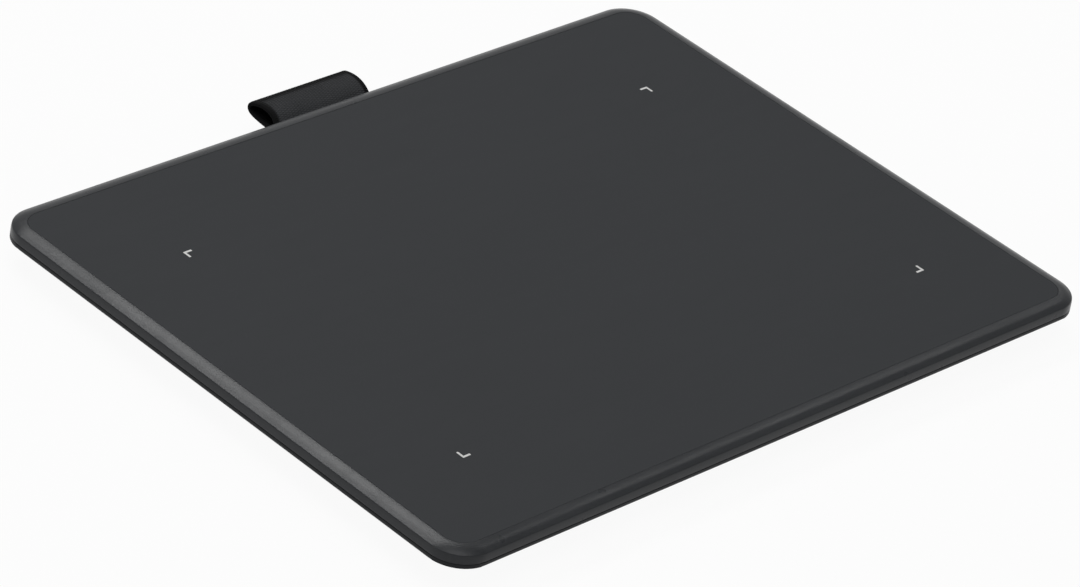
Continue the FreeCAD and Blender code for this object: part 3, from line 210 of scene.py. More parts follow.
class FootSizes(PropertyGroup):
    """Sizes of the rubber feet and their recesses."""

    length: length("Length", "Length of a foot", 16.0 * MM)
    width: length("Width", "Width of a foot", 6.0 * MM)
    play: length("Play", "Room between a foot and its recess", 0.1 * MM)
    seat: length("Seat", "Depth of the recess", 0.5 * MM)
    edge: length("Edge", "Rounding of the lower edge", 0.35 * MM)


class LoopSizes(PropertyGroup):
    """Sizes of the woven pen loop."""

    width: length("Width", "Width of the webbing", LOOP_HIGH.x - LOOP_LOW.x + STRAP_EXTRA)
    thickness: length("Thickness", "Thickness of the webbing", 0.72 * MM)
    rib_height: length("Rib height", "Height of the woven ribs", 0.05 * MM)
    draw_in: length("Draw-in", "How far the upper run is drawn in at its left selvage", 0.6 * MM)
    ribs: IntProperty(name="Ribs", description="Ribs across the webbing", default=33, min=4)
    samples: IntProperty(name="Samples", description="Cross sections along the webbing",
                         default=170, min=40)


class MarkSizes(PropertyGroup):
    """Sizes of the printed marks at the corners of the active area."""

    across: length("Across", "Active area from left to right", 105.5 * MM)
    deep: length("Deep", "Active area from front to back", 65.9 * MM)
    setback: length("Setback", "Middle of the area in front of the plate's middle", 1.8 * MM)
    leg: length("Leg", "Length of each leg of a mark", 1.65 * MM)
    line: length("Line", "Width of the printed line", 0.4 * MM)
    ink: length("Ink", "Thickness of the ink", 0.01 * MM)


class FinishColours(PropertyGroup):
    """Colours of the surfaces that show."""

    shell: colour("Upper shell", "Colour of the upper shell", (0.0262, 0.0278, 0.0302))
    tray: colour("Tray", "Colour of the lower shell", (0.016, 0.0169, 0.0183))
    sheet: colour("Drawing sheet", "Colour of the drawing sheet", (0.0258, 0.0276, 0.0302))
    mark: colour("Marks", "Colour of the printed marks", (0.55, 0.55, 0.54))
    webbing: colour("Webbing", "Colour of the pen loop", (0.016, 0.0166, 0.0176))
    feet: colour("Feet", "Colour of the feet", (0.012, 0.012, 0.0125))
    floor: colour("Floor", "Colour of the floor in its shadows", (0.6, 0.6, 0.6))


class StageSettings(PropertyGroup):
    """Camera and light."""

    azimuth: view_angle("Azimuth", "Camera round the object", -49.708)
    elevation: view_angle("Elevation", "Camera over the table", 31.9264)
    roll: view_angle("Roll", "Turn of the camera about its own axis", 10.8735)
    aim: FloatVectorProperty(name="Aim", description="Point that the camera looks at",
                             default=(-0.30508 * MM, -3.48102 * MM, -0.28632 * MM), size=3,
                             subtype="TRANSLATION")
    distance: length("Distance", "Camera to that point", 896.3067 * MM)
    lens: amount("Lens", "Focal length in millimetres", 183.37, 1.0)
    horizon: amount("Horizon", "Light from near the horizon", 1.0)
    low_sky: amount("Low sky", "Light from a little over the horizon", 0.5)
    mid_sky: amount("Middle sky", "Light from a third of the way up", 0.25)
    zenith: amount("Zenith", "Light from high up", 0.1)
    overhead: lamp_power("Overhead lamp", 5.6)
    edge_lamp: lamp_power("Edge lamp", 6.7)
    side_lamp: lamp_power("Side lamp", 0.5)
    corner_lamp: lamp_power("Corner lamp", 0.2)
    low_lamp: lamp_power("Low lamp", 0.8)


# The lamps: width and height in metres, and the way to each from the tablet
LAMPS = {
    "overhead": ((0.8, 0.8), (-0.15, -0.15, 0.98)),
    "edge_lamp": ((0.74, 0.3), (0.15, 0.56, 0.81)),
    "side_lamp": ((0.14, 0.14), (0.68, 0.143, 0.728)),
    "corner_lamp": ((0.12, 0.36), (0.8, 0.36, 0.47)),
    "low_lamp": ((0.5, 0.5), (-0.95, 0.25, 0.2)),
}
LAMP_DISTANCE = 1.15

# How high each light of the sky stands, from the table's plane at 0 to straight up at 1
SKY_LEVELS = {"horizon": 0.03, "low_sky": 0.28, "mid_sky": 0.52, "zenith": 0.78}


# Modelling by hand

def only(piece):
    """Leave edit mode, and make one object the selected and active one."""
    if bpy.context.object and bpy.context.object.mode != "OBJECT":
        bpy.ops.object.mode_set(mode="OBJECT")
    bpy.ops.object.select_all(action="DESELECT")
    if piece:
        piece.select_set(True)
        bpy.context.view_layer.objects.active = piece
    return piece


def add_block(name, low, high):
    """A cube stretched between two corners, as the start of a piece."""
    only(None)
    low = Vector(low)
    high = Vector(high)
    bpy.ops.mesh.primitive_cube_add(size=1, location=(low + high) / 2)
    piece = bpy.context.object
    piece.name = name
    piece.data.name = name
    piece.scale = high - low
    bpy.ops.object.transform_apply(location=True, rotation=True, scale=True)
    return piece


def pick(piece, kind, test):
    """Select the faces or edges of a piece that pass a test, in edit mode."""
    only(piece)
    bpy.ops.object.mode_set(mode="EDIT")
    bpy.ops.mesh.select_mode(type=kind)
    bpy.ops.mesh.select_all(action="DESELECT")
    mesh = bmesh.from_edit_mesh(piece.data)
    for item in (mesh.faces if kind == "FACE" else mesh.edges):
        if test(item):
            item.select_set(True)
    bmesh.update_edit_mesh(piece.data)


def facing(direction, level=None):
    """A test for flat faces that look along a direction, at a level along it if one is given."""
    way = Vector(direction)

    def test(face):
        if face.normal.dot(way) < ALIGNED:
            return False
        return level is None or abs(face.calc_center_median().dot(way) - level) < FLAT

    return test


def along(direction):
    """A test for edges that run along a direction."""
    way = Vector(direction)

    def test(edge):
        line = edge.verts[1].co - edge.verts[0].co
        return line.length > FLAT and abs(line.normalized().dot(way)) > ALIGNED

    return test


def ring_at(level, within=None, beyond=None):
    """A test for the edges of a flat ring at a height, between two insets from the outline."""

    def test(edge):
        for vert in edge.verts:
            if abs(vert.co.z - level) > FLAT:
                return False
            gap = min(vert.co.x - PLATE_LOW.x, PLATE_HIGH.x - vert.co.x,
                      vert.co.y - PLATE_LOW.y, PLATE_HIGH.y - vert.co.y)
            if within is not None and gap > within:
                return False
            if beyond is not None and gap < beyond - FLAT:
                return False
        return len(edge.link_faces) == 2 and edge.calc_face_angle(0.0) > CREASE

    return test


def round_edges(piece, test, offset, segments, kind="EDGE"):
    """Round the edges that pass a test, or the outline of the faces that pass it."""
    pick(piece, kind, test)
    if kind == "FACE":
        bpy.ops.mesh.region_to_loop()
    bpy.ops.mesh.bevel(offset=offset, offset_type="OFFSET", segments=segments, profile=0.5,
                       affect="EDGES", clamp_overlap=False)


def raise_inset(thickness, rise):
    """Draw the selected face in by a thickness, and lift it along its normal."""
    bpy.ops.mesh.inset(thickness=thickness, depth=rise, use_even_offset=True)


def push(vector):
    """Extrude the selected faces by a vector."""
    bpy.ops.mesh.extrude_region_move(TRANSFORM_OT_translate={"value": vector})


def shrink(x_share, y_share, z_share, middle):
    """Scale the selected faces about a point."""
    bpy.ops.transform.resize(value=(x_share, y_share, z_share), center_override=middle)


def divide(piece):
    """Cut a shell across at an even pitch, so that it has no face as long as its sides."""
    for way in (Vector((1, 0, 0)), Vector((0, 1, 0))):
        start = PLATE_LOW.dot(way)
        span = PLATE_SPAN.dot(way)
        count = round(span / FACE_PITCH)
        for number in range(1, count):
            pick(piece, "FACE", lambda face: True)
            bpy.ops.mesh.bisect(plane_co=way * (start + span * number / count), plane_no=way)


def combine(piece, tool, operation):
    """Cut a tool out of a piece, or join it to the piece."""
    only(piece)
    change = piece.modifiers.new("combine", "BOOLEAN")
    change.operation = operation
    change.solver = "EXACT"
    change.object = tool
    bpy.ops.object.modifier_apply(modifier=change.name)
    bpy.data.objects.remove(tool)
    return piece


def join_pieces(pieces):
    """Join like pieces into the first of them."""
    only(pieces[0])
    for piece in pieces:
        piece.select_set(True)
    bpy.ops.object.join()
    return pieces[0]


def finish_piece(piece, material, replaced=(), body="root", angle=28):
    """Smooth a piece, give it its finish and hang it on its body."""
    only(piece)
    bpy.ops.object.shade_smooth_by_angle(angle=math.radians(angle))
    even = piece.modifiers.new("even_shading", "WEIGHTED_NORMAL")
    even.keep_sharp = True
    bpy.ops.object.modifier_apply(modifier=even.name)
    piece.data.materials.clear()
    piece.data.materials.append(material)
    if replaced:
        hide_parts(*replaced)
    if body:
        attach(piece, body)
    return piece


def slot_tool(name, width, height, x, z, radius, inner, face, flare):
    """A cutter along Y with rounded corners and a flared end where it leaves the wall."""
    tool = add_block(name, (x - width / 2, inner, z - height / 2),
                     (x + width / 2, face - flare, z + height / 2))
    round_edges(tool, along((0, 1, 0)), radius, segments=8)
    pick(tool, "FACE", facing((0, 1, 0)))
    push((0, flare, 0))
    shrink((width + flare * 2) / width, 1, (height + flare * 2) / height, (x, face, z))
    push((0, CUT_PAST, 0))
    only(None)
    return tool


# Materials

class Finish:
    """One procedural material, with short calls that add and join its nodes."""

    def __init__(self, name, base, roughness, metallic=0.0):
        self.material = bpy.data.materials.new(name)
        self.material.use_nodes = True
        self.tree = self.material.node_tree
        self.shader = self.tree.nodes["Principled BSDF"]
        self.base = tuple(base)
        self.shader.inputs["Base Color"].default_value = (*self.base, 1)
        self.shader.inputs["Roughness"].default_value = roughness
        self.shader.inputs["Metallic"].default_value = metallic
        self.place = self.add("TexCoord").outputs["Object"]
        self.normal = None

    def set(self, **values):
        """Set plain numbers on the shader's own sockets."""
        for name, value in values.items():
            self.shader.inputs[name.replace("_", " ")].default_value = value
        return self

    def add(self, kind, links=(), **settings):
        """A new node, with its inputs given as numbers or as other nodes' outputs."""
        node = self.tree.nodes.new(f"ShaderNode{kind}")
        for name, value in settings.items():
            setattr(node, name, value)
        for socket, value in dict(links).items():
            if isinstance(value, bpy.types.NodeSocket):
                self.tree.links.new(value, node.inputs[socket])
            else:
                node.inputs[socket].default_value = value
        return node

    def use_uv(self):
        """Read the piece's own UV map, in metres, from here on."""
        self.place = self.add("UVMap").outputs["UV"]
        return self

    def stretch(self, shares, turn=0.0):
        """The coordinates scaled by axis and turned about Z."""
        return self.add("Mapping", {"Vector": self.place, "Scale": shares,
                                    "Rotation": (0, 0, turn)}).outputs["Vector"]

    def noise(self, size, detail=2.0, place=None, roughness=0.5):
        """Soft noise with spots of about a size in metres."""
        return self.add("TexNoise", {"Vector": place or self.place, "Scale": 1 / size,
                                     "Detail": detail, "Roughness": roughness}).outputs["Fac"]

    def cells(self, size):
        """The distance from the middles of cells of about a size in metres."""
        return self.add("TexVoronoi", {"Vector": self.place,
                                       "Scale": 1 / size}).outputs["Distance"]

    def bands(self, pitch, direction="X", distortion=0.0):
        """Straight bands with a pitch in metres. The node's is tau / 20 at a scale of 1."""
        return self.add("TexWave", {"Vector": self.place, "Scale": math.tau / (20 * pitch),
                                    "Distortion": distortion, "Detail": 2.0},
                        bands_direction=direction).outputs["Fac"]

    def math(self, operation, first, second=0.0):
        """One sum of two numbers or outputs."""
        return self.add("Math", {0: first, 1: second}, operation=operation).outputs[0]

    def spread(self, value, low, high, from_low=0.3, from_high=0.7):
        """A pattern's middle part stretched to run from one number to another."""
        node = self.add("MapRange", {"Value": value, "From Min": from_low,
                                     "From Max": from_high, "To Min": low, "To Max": high})
        return node.outputs["Result"]

    def tint(self, factor, colour_a, colour_b):
        """A colour between two others, as a pattern says."""
        node = self.add("Mix", {0: factor}, data_type="RGBA")
        for index, value in ((6, colour_a), (7, colour_b)):
            if isinstance(value, bpy.types.NodeSocket):
                self.tree.links.new(value, node.inputs[index])
            else:
                node.inputs[index].default_value = (*value, 1)
        return node.outputs[2]

    def shade(self, share):
        """The base colour made lighter or darker by a share."""
        return tuple(min(part * share, 1.0) for part in self.base)

    def vary(self, pattern, low, high):
        """The base colour between two shades of it, as a pattern says."""
        return self.tint(self.spread(pattern, 0.0, 1.0), self.shade(low), self.shade(high))

    def paint(self, output, socket="Base Color"):
        """Join a pattern to one of the shader's sockets."""
        self.tree.links.new(output, self.shader.inputs[socket])

    def bump(self, height, depth, strength=1.0):
        """Raise the surface by a pattern, by a depth in metres, over earlier bumps."""
        links = {"Height": height, "Distance": depth, "Strength": strength}
        if self.normal:
            links["Normal"] = self.normal
        self.normal = self.add("Bump", links).outputs["Normal"]
        self.tree.links.new(self.normal, self.shader.inputs["Normal"])


def moulded_plastic(name, base, roughness, grain, depth, gloss=0.18):
    """Matt moulded plastic with a fine spark-eroded grain and faint flow marks."""
    skin = Finish(name, base, roughness)
    flow = skin.noise(0.016, 3.0)
    fine = skin.noise(grain * 3)
    body = skin.vary(flow, 0.93, 1.07)
    skin.paint(skin.tint(skin.spread(fine, 0.0, 0.35), body, skin.shade(1.22)))
    rub = skin.noise(0.006, 4.0, roughness=0.6)
    skin.paint(skin.spread(rub, roughness - 0.035, roughness + 0.035), "Roughness")
    skin.bump(skin.noise(grain, 3.0, roughness=0.65), depth)
    skin.bump(skin.cells(grain * 1.6), depth * 0.5, 0.6)
    return skin.set(Specular_IOR_Level=gloss).material


def paper_sheet(base):
    """The drawing sheet: a matt film with a paper-like tooth and faint rub marks."""
    skin = Finish("paper_matt_film", base, 0.68).set(Specular_IOR_Level=0.14)
    cloud = skin.noise(0.030, 3.0)
    tooth = skin.noise(0.00022, 4.0, roughness=0.7)
    body = skin.vary(cloud, 0.98, 1.02)
    skin.paint(skin.tint(skin.spread(tooth, 0.0, 0.4), body, skin.shade(1.2)))
    strokes = skin.noise(0.004, place=skin.stretch((0.25, 1.4, 1.0), 0.5))
    skin.paint(skin.spread(strokes, 0.65, 0.67), "Roughness")
    skin.bump(tooth, 0.006 * MM)
    skin.bump(skin.noise(0.0009), 0.008 * MM, 0.5)
    return skin.material


def ribbed_webbing(base, rib_pitch, width, bend_end, mouth):
    """Narrow woven webbing: lengthwise ribs crossed by fine picks of thread.

    The yarn is painted paler, as painted light on the face, from the end of the bend at the tip
    to the mouth of the case; the bend and the selvages stay dark as painted shade.
    """
    cloth = Finish("ribbed_webbing", base, 0.82).use_uv()
    side, run = cloth.add("SeparateXYZ", {"Vector": cloth.place}).outputs[:2]
    across = cloth.math("DIVIDE", side, rib_pitch)
    lane = cloth.math("FLOOR", across)
    shift = cloth.math("MULTIPLY", cloth.math("PINGPONG", lane, 1.0), 0.5)
    pick_count = cloth.math("ADD", cloth.math("DIVIDE", run, 0.42 * MM), shift)
    thread = cloth.math("SINE", cloth.math("MULTIPLY", pick_count, math.tau))
    crown = cloth.math("ABSOLUTE", cloth.math("SINE", cloth.math("MULTIPLY", across, math.pi)))
    weave = cloth.math("MULTIPLY", cloth.math("ADD", cloth.math("MULTIPLY", thread, 0.5), 0.5),
                       crown)
    fibre = cloth.noise(0.00007, place=cloth.stretch((1.0, 0.25, 1.0)))
    wear = cloth.noise(0.004, 3.0)
    # Painted light and shade: the bend at the tip stays dark as painted shade, and the face
    # grows lighter towards the mouth of the case as painted light
    start = cloth.spread(run, 0.0, 0.55, bend_end - 0.4 * MM, bend_end + 0.5 * MM)
    end = cloth.spread(run, 0.0, 0.45, bend_end + 0.5 * MM, mouth)
    from_middle = cloth.math("ABSOLUTE", cloth.math("SUBTRACT", side, width / 2))
    # The selvages are kept out of the painted light, so they stay dark as painted shade
    flat = cloth.spread(from_middle, 1.0, 0.0, width / 2 - 1.1 * MM, width / 2 - 0.5 * MM)
    painted_light_share = cloth.math("MULTIPLY", cloth.math("ADD", start, end), flat)
    # Every shade of the yarn below follows the painted light and shade of the face
    yarn = cloth.tint(painted_light_share, cloth.shade(0.25), cloth.shade(3.0))
    pale = cloth.tint(painted_light_share, cloth.shade(0.5), cloth.shade(4.4))
    dark = cloth.tint(painted_light_share, cloth.shade(0.12), cloth.shade(1.3))
    # The grooves between the ribs and between the picks are painted darker than the crowns, as
    # painted shade
    lit = cloth.tint(weave, dark, yarn)
    lit = cloth.tint(cloth.spread(fibre, 0.0, 0.5), lit, pale)
    cloth.paint(cloth.tint(cloth.spread(wear, 0.0, 0.2), lit, pale))
    cloth.set(Specular_IOR_Level=0.08)
    cloth.paint(cloth.spread(fibre, 0.74, 0.9), "Roughness")
    cloth.bump(weave, 0.05 * MM)
    cloth.bump(fibre, 0.012 * MM, 0.8)
    return cloth.material


def soft_rubber(base):
    """Matt rubber with a faint bloom."""
    skin = Finish("foot_rubber", base, 0.78)
    bloom = skin.noise(0.0035, 4.0, roughness=0.6)
    skin.paint(skin.vary(bloom, 1.0, 1.7))
    skin.paint(skin.spread(bloom, 0.7, 0.86), "Roughness")
    skin.bump(skin.noise(0.00018, 3.0), 0.01 * MM)
    return skin.material


def printed_ink(base):
    """Light screen-printed ink with a slightly uneven body."""
    skin = Finish("printed_ink", base, 0.55)
    uneven = skin.noise(0.00025, 3.0)
    skin.paint(skin.vary(uneven, 0.86, 1.08))
    skin.bump(uneven, 0.003 * MM)
    return skin.material


def metal(name, base, roughness, run=(1.0, 1.0, 1.0), size=0.0012):
    """Bare or plated metal with fine drawn or rolled streaks."""
    skin = Finish(name, base, roughness, 1.0)
    streak = skin.noise(size, 4.0, place=skin.stretch(run), roughness=0.6)
    stain = skin.noise(0.007, 3.0)
    body = skin.vary(streak, 0.88, 1.06)
    skin.paint(skin.tint(skin.spread(stain, 0.0, 0.3), body, skin.shade(0.72)))
    skin.paint(skin.spread(streak, roughness - 0.06, roughness + 0.1), "Roughness")
    skin.bump(streak, 0.002 * MM, 0.6)
    return skin.material


def circuit_board(base):
    """Green solder mask over copper tracks and small plated holes."""
    skin = Finish("solder_mask", base, 0.32)
    runs = skin.bands(0.0016, "Y", distortion=1.5)
    cross = skin.bands(0.0052, "X", distortion=2.5)
    track = skin.math("GREATER_THAN", skin.math("MAXIMUM", runs, cross), 0.86)
    holes = skin.math("LESS_THAN", skin.cells(0.0034), 0.09)
    mask = skin.tint(track, skin.base, skin.shade(1.9))
    skin.paint(skin.tint(holes, mask, (0.72, 0.55, 0.3)))
    skin.paint(holes, "Metallic")
    skin.bump(track, 0.02 * MM)
    skin.bump(skin.noise(0.0005), 0.004 * MM, 0.6)
    return skin.material


def chip_resin(base):
    """Moulded black resin with a sandy skin."""
    skin = Finish("moulded_resin", base, 0.58)
    sand = skin.noise(0.00012, 3.0, roughness=0.7)
    skin.paint(skin.vary(sand, 0.8, 1.6))
    skin.bump(sand, 0.008 * MM)
    return skin.material


def capped_ceramic(base, node, count):
    """Small ceramic blocks in a row along X, with plated caps at their ends."""
    low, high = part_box(node)
    each = high.y - low.y
    long_x = max(each * 2, (high.x - low.x) / (count * 2))
    pitch = (high.x - low.x - long_x) / max(count - 1, 1)
    skin = Finish("capped_ceramic", base, 0.45)
    x = skin.add("SeparateXYZ", {"Vector": skin.place}).outputs[0]
    start = skin.math("SUBTRACT", x, low.x - FLAT)
    share = skin.math("DIVIDE", skin.math("MODULO", start, pitch), long_x)
    from_middle = skin.math("ABSOLUTE", skin.math("SUBTRACT", share, 0.5))
    cap = skin.math("GREATER_THAN", from_middle, 0.28)
    grain = skin.noise(0.00015, 3.0)
    clay = skin.vary(grain, 0.85, 1.15)
    skin.paint(skin.tint(cap, clay, (0.68, 0.68, 0.66)))
    skin.paint(cap, "Metallic")
    skin.bump(grain, 0.004 * MM)
    return skin.material


def soft_foam(base):
    """Open-cell foam."""
    skin = Finish("soft_foam", base, 0.95)
    pores = skin.cells(0.0007)
    # The pits of the cells are painted darker than their rims, as painted shade
    skin.paint(skin.tint(skin.spread(pores, 0.0, 1.0, 0.0, 0.7), skin.shade(0.4),
                         skin.shade(1.8)))
    skin.bump(pores, 0.12 * MM)
    skin.bump(skin.noise(0.0003), 0.04 * MM, 0.7)
    return skin.material


def thin_film(name, base, roughness, lines=0.0):
    """A plastic film, with copper lines under it where a pitch is given."""
    skin = Finish(name, base, roughness)
    haze = skin.noise(0.005, 3.0)
    body = skin.vary(haze, 0.9, 1.06)
    if lines:
        track = skin.math("GREATER_THAN", skin.bands(lines), 0.6)
        body = skin.tint(track, body, skin.shade(0.62))
        skin.bump(track, 0.02 * MM)
    skin.paint(body)
    skin.paint(skin.spread(haze, roughness - 0.05, roughness + 0.08), "Roughness")
    skin.bump(skin.noise(0.0012), 0.006 * MM, 0.6)
    return skin.material


# Pieces

class TABLET_OT_upper_shell(Operator):
    """Model the upper shell with its leaning wall, sloping rim, sheet recess and openings"""

    bl_idname = "tablet.upper_shell"
    bl_label = "Upper shell"

    def execute(self, context):
        size = context.scene.tablet_shell
        shell = add_block("upper_shell", (PLATE_LOW.x, PLATE_LOW.y, size.skirt_level),
                          (PLATE_HIGH.x, PLATE_HIGH.y, WALL[0][1] * MM))
        round_edges(shell, along((0, 0, 1)), size.corner, segments=18)
        pick(shell, "FACE", facing((0, 0, 1)))
        opening = SHEET_LOW.x - PLATE_LOW.x - size.sheet_play
        rings = [(inset * MM, level * MM) for inset, level in WALL + SLOPE]
        rings.append((opening, COVER_TOP))
        for before, after in zip(rings, rings[1:]):
            raise_inset(after[0] - before[0], after[1] - before[1])
        push((0, 0, -size.recess))
        pick(shell, "FACE", facing((0, 0, -1)))
        raise_inset(size.skirt, 0)
        push((0, 0, size.ceiling - size.skirt_level))

        round_edges(shell, ring_at(WALL[-1][1] * MM), size.shoulder_round, segments=3)
        round_edges(shell, ring_at(SLOPE[0][1] * MM), size.slope_round, segments=2)
        round_edges(shell, ring_at(COVER_TOP, beyond=opening), size.sheet_round, segments=2)
        round_edges(shell, ring_at(size.skirt_level, within=EDGE_BAND), size.crisp_round,
                    segments=2)
        divide(shell)
        cut_openings(shell, context)
        look = moulded_plastic("moulded_cover", context.scene.tablet_colour.shell, 0.3,
                               0.00026, 0.012 * MM)
        finish_piece(shell, look, ["top_cover"])
        return {"FINISHED"}


def cut_openings(shell, context):
    """Cut the mouths for the webbing and for the cable socket into a shell's back wall."""
    size = context.scene.tablet_opening
    loop = context.scene.tablet_loop
    layers = TAIL_HIGH.z - TAIL_LOW.z
    tool = slot_tool("strap_mouth", loop.width + size.strap_play * 2,
                     layers + size.strap_play * 2, 0, (TAIL_HIGH.z + TAIL_LOW.z) / 2,
                     size.strap_play, BACK_EDGE - size.strap_depth, BACK_EDGE, size.flare)
    combine(shell, tool, "DIFFERENCE")
    width = PORT_HIGH.x - PORT_LOW.x + size.port_play * 2
    height = PORT_HIGH.z - PORT_LOW.z + size.port_play * 2
    tool = slot_tool("port_mouth", width, height, (PORT_HIGH.x + PORT_LOW.x) / 2,
                     (PORT_HIGH.z + PORT_LOW.z) / 2, height / 2 - FLAT,
                     BACK_EDGE - size.port_depth, BACK_EDGE - size.housing_setback, size.flare)
    combine(shell, tool, "DIFFERENCE")


class TABLET_OT_tray(Operator):
    """Model the lower shell with its sloping flank, tongue, hollow and recesses for the feet"""

    bl_idname = "tablet.tray"
    bl_label = "Tray"

    def execute(self, context):
        size = context.scene.tablet_shell
        tray = add_block("tray_shell", (PLATE_LOW.x, PLATE_LOW.y, size.rim_level),
                         (PLATE_HIGH.x, PLATE_HIGH.y, size.seam_level))
        round_edges(tray, along((0, 0, 1)), size.corner, segments=16)
        pick(tray, "FACE", facing((0, 0, -1)))
        sink(FLANK, 0.0, size.rim_level)
        pick(tray, "FACE", facing((0, 0, 1)))
        raise_inset(size.tongue_inset, 0)
        push((0, 0, size.tongue))
        raise_inset(size.tongue_wall, 0)
        push((0, 0, size.rim_level - size.seam_level - size.tongue))
        floor_level = (PLATE_LOW.z + size.floor_wall) / MM
        sink((HOLLOW, (FLOOR_START, floor_level)), size.tongue_inset + size.tongue_wall,
             size.rim_level)

        round_edges(tray, ring_at(size.rim_level, within=EDGE_BAND), size.rim_round,
                    segments=3)
        round_edges(tray, ring_at(PLATE_LOW.z), size.base_round, segments=4)
        round_edges(tray, ring_at(size.seam_level, within=EDGE_BAND), size.crisp_round,
                    segments=2)
        divide(tray)
        self.add_housing(tray, context)
        cut_openings(tray, context)
        self.cut_feet(tray, context)
        look = moulded_plastic("moulded_tray", context.scene.tablet_colour.tray, 0.42,
                               0.0003, 0.016 * MM, 0.1)
        finish_piece(tray, look, ["bottom_cover"])
        return {"FINISHED"}

    def add_housing(self, tray, context):
        """The block round the cable socket that stands out of the sloping flank."""
        size = context.scene.tablet_opening
        low = PORT_LOW.z - size.port_play - size.housing_wall
        face = BACK_EDGE - size.housing_setback
        block = add_block("port_housing",
                          (PORT_LOW.x - size.housing_side, face - size.housing_depth, low),
                          (PORT_HIGH.x + size.housing_side, face,
                           context.scene.tablet_shell.seam_level - STEP_BACK))
        lengthwise = along((0, 1, 0))
        round_edges(block, lambda edge: lengthwise(edge) and edge.verts[0].co.z < low + FLAT,
                    size.housing_wall, segments=6)
        round_edges(block, facing((0, 1, 0)), size.housing_round, segments=2, kind="FACE")
        combine(tray, block, "UNION")

    def cut_feet(self, tray, context):
        """Recesses for the four feet."""
        foot = context.scene.tablet_foot
        for x, y in foot_places(foot):
            tool = slot_block("foot_recess", foot.length + foot.play * 2,
                              foot.width + foot.play * 2, x, y, PLATE_LOW.z - CUT_PAST,
                              PLATE_LOW.z + foot.seat)
            combine(tray, tool, "DIFFERENCE")


def sink(rings, inset, level):
    """Extrude the selected face down through outlines given as inset and height."""
    for ring_inset, height in rings:
        target = height * MM
        before = (PLATE_SPAN.x - inset * 2, PLATE_SPAN.y - inset * 2)
        inset = ring_inset * MM
        push((0, 0, target - level))
        level = target
        shrink((PLATE_SPAN.x - inset * 2) / before[0], (PLATE_SPAN.y - inset * 2) / before[1],
               1, (PLATE_MIDDLE.x, PLATE_MIDDLE.y, level))


def foot_places(foot):
    """The middles of the four feet."""
    x = FEET_HIGH.x - foot.length / 2
    front = FEET_LOW.y + foot.width / 2
    back = FEET_HIGH.y - foot.width / 2
    return [(i * x, y) for y in (front, back) for i in (-1, 1)]


def slot_block(name, length_x, width_y, x, y, low, high):
    """An upright block with round ends."""
    block = add_block(name, (x - length_x / 2, y - width_y / 2, low),
                      (x + length_x / 2, y + width_y / 2, high))
    round_edges(block, along((0, 0, 1)), width_y / 2 - FLAT, segments=10)
    return block


class TABLET_OT_feet(Operator):
    """Model one rubber foot and copy it to the four corners"""

    bl_idname = "tablet.feet"
    bl_label = "Rubber feet"

    def execute(self, context):
        foot = context.scene.tablet_foot
        places = foot_places(foot)
        first = slot_block("moulded_feet", foot.length, foot.width, *places[0], FEET_LOW.z,
                           FEET_HIGH.z)
        round_edges(first, facing((0, 0, -1)), foot.edge, segments=4, kind="FACE")
        only(None)
        feet = [first]
        for place in places[1:]:
            copy = first.copy()
            copy.data = first.data.copy()
            way = Vector((*place, 0)) - Vector((*places[0], 0))
            copy.data.transform(Matrix.Translation(way))
            bpy.context.collection.objects.link(copy)
            feet.append(copy)
        look = soft_rubber(context.scene.tablet_colour.feet)
        finish_piece(join_pieces(feet), look, ["rubber_feet"])
        return {"FINISHED"}


class TABLET_OT_sheet(Operator):
    """Model the drawing sheet that fills the recess"""

    bl_idname = "tablet.sheet"
    bl_label = "Drawing sheet"

    def execute(self, context):
        size = context.scene.tablet_shell
        ink = context.scene.tablet_mark.ink
        sheet = add_block("matt_sheet", SHEET_LOW,
                          (SHEET_HIGH.x, SHEET_HIGH.y, SHEET_HIGH.z - ink))
        inset = SHEET_LOW.x - PLATE_LOW.x
        round_edges(sheet, along((0, 0, 1)), size.corner - inset, segments=14)
        round_edges(sheet, facing((0, 0, 1)), size.sheet_round, segments=2, kind="FACE")
        look = paper_sheet(context.scene.tablet_colour.sheet)
        finish_piece(sheet, look, ["drawing_surface"])
        return {"FINISHED"}


class TABLET_OT_marks(Operator):
    """Print the four corner marks of the active area on the sheet"""

    bl_idname = "tablet.marks"
    bl_label = "Corner marks"

    def execute(self, context):
        size = context.scene.tablet_mark
        # The sheet's top is one thickness of ink lower, and a mark sinks half of one into it
        top = SHEET_HIGH.z
        depth = size.ink * 1.5
        marks = []
        for i, j in ((1, 1), (-1, 1), (-1, -1), (1, -1)):
            x = i * size.across / 2
            y = PLATE_MIDDLE.y - size.setback + j * size.deep / 2
            ends = [(x, y), (x - i * size.line, y - j * size.line)]
            low = [min(end[k] for end in ends) for k in (0, 1)]
            high = [max(end[k] for end in ends) for k in (0, 1)]
            mark = add_block("corner_marks", (*low, top - depth), (*high, top))
            reach = size.leg - size.line
            for direction in ((-i, 0, 0), (0, -j, 0)):
                pick(mark, "FACE", self.side_of_corner(direction, x, y, size.line))
                push(tuple(part * reach for part in direction))
            only(None)
            marks.append(mark)
        look = printed_ink(context.scene.tablet_colour.mark)
        finish_piece(join_pieces(marks), look)
        return {"FINISHED"}

    def side_of_corner(self, direction, x, y, line):
        """A test for the side of the corner's own square that looks along a direction."""
        looks = facing(direction)

        def test(face):
            middle = face.calc_center_median()
            near = max(abs(middle.x - x), abs(middle.y - y)) < line + FLAT / 2
            return looks(face) and near

        return test


# The pen loop

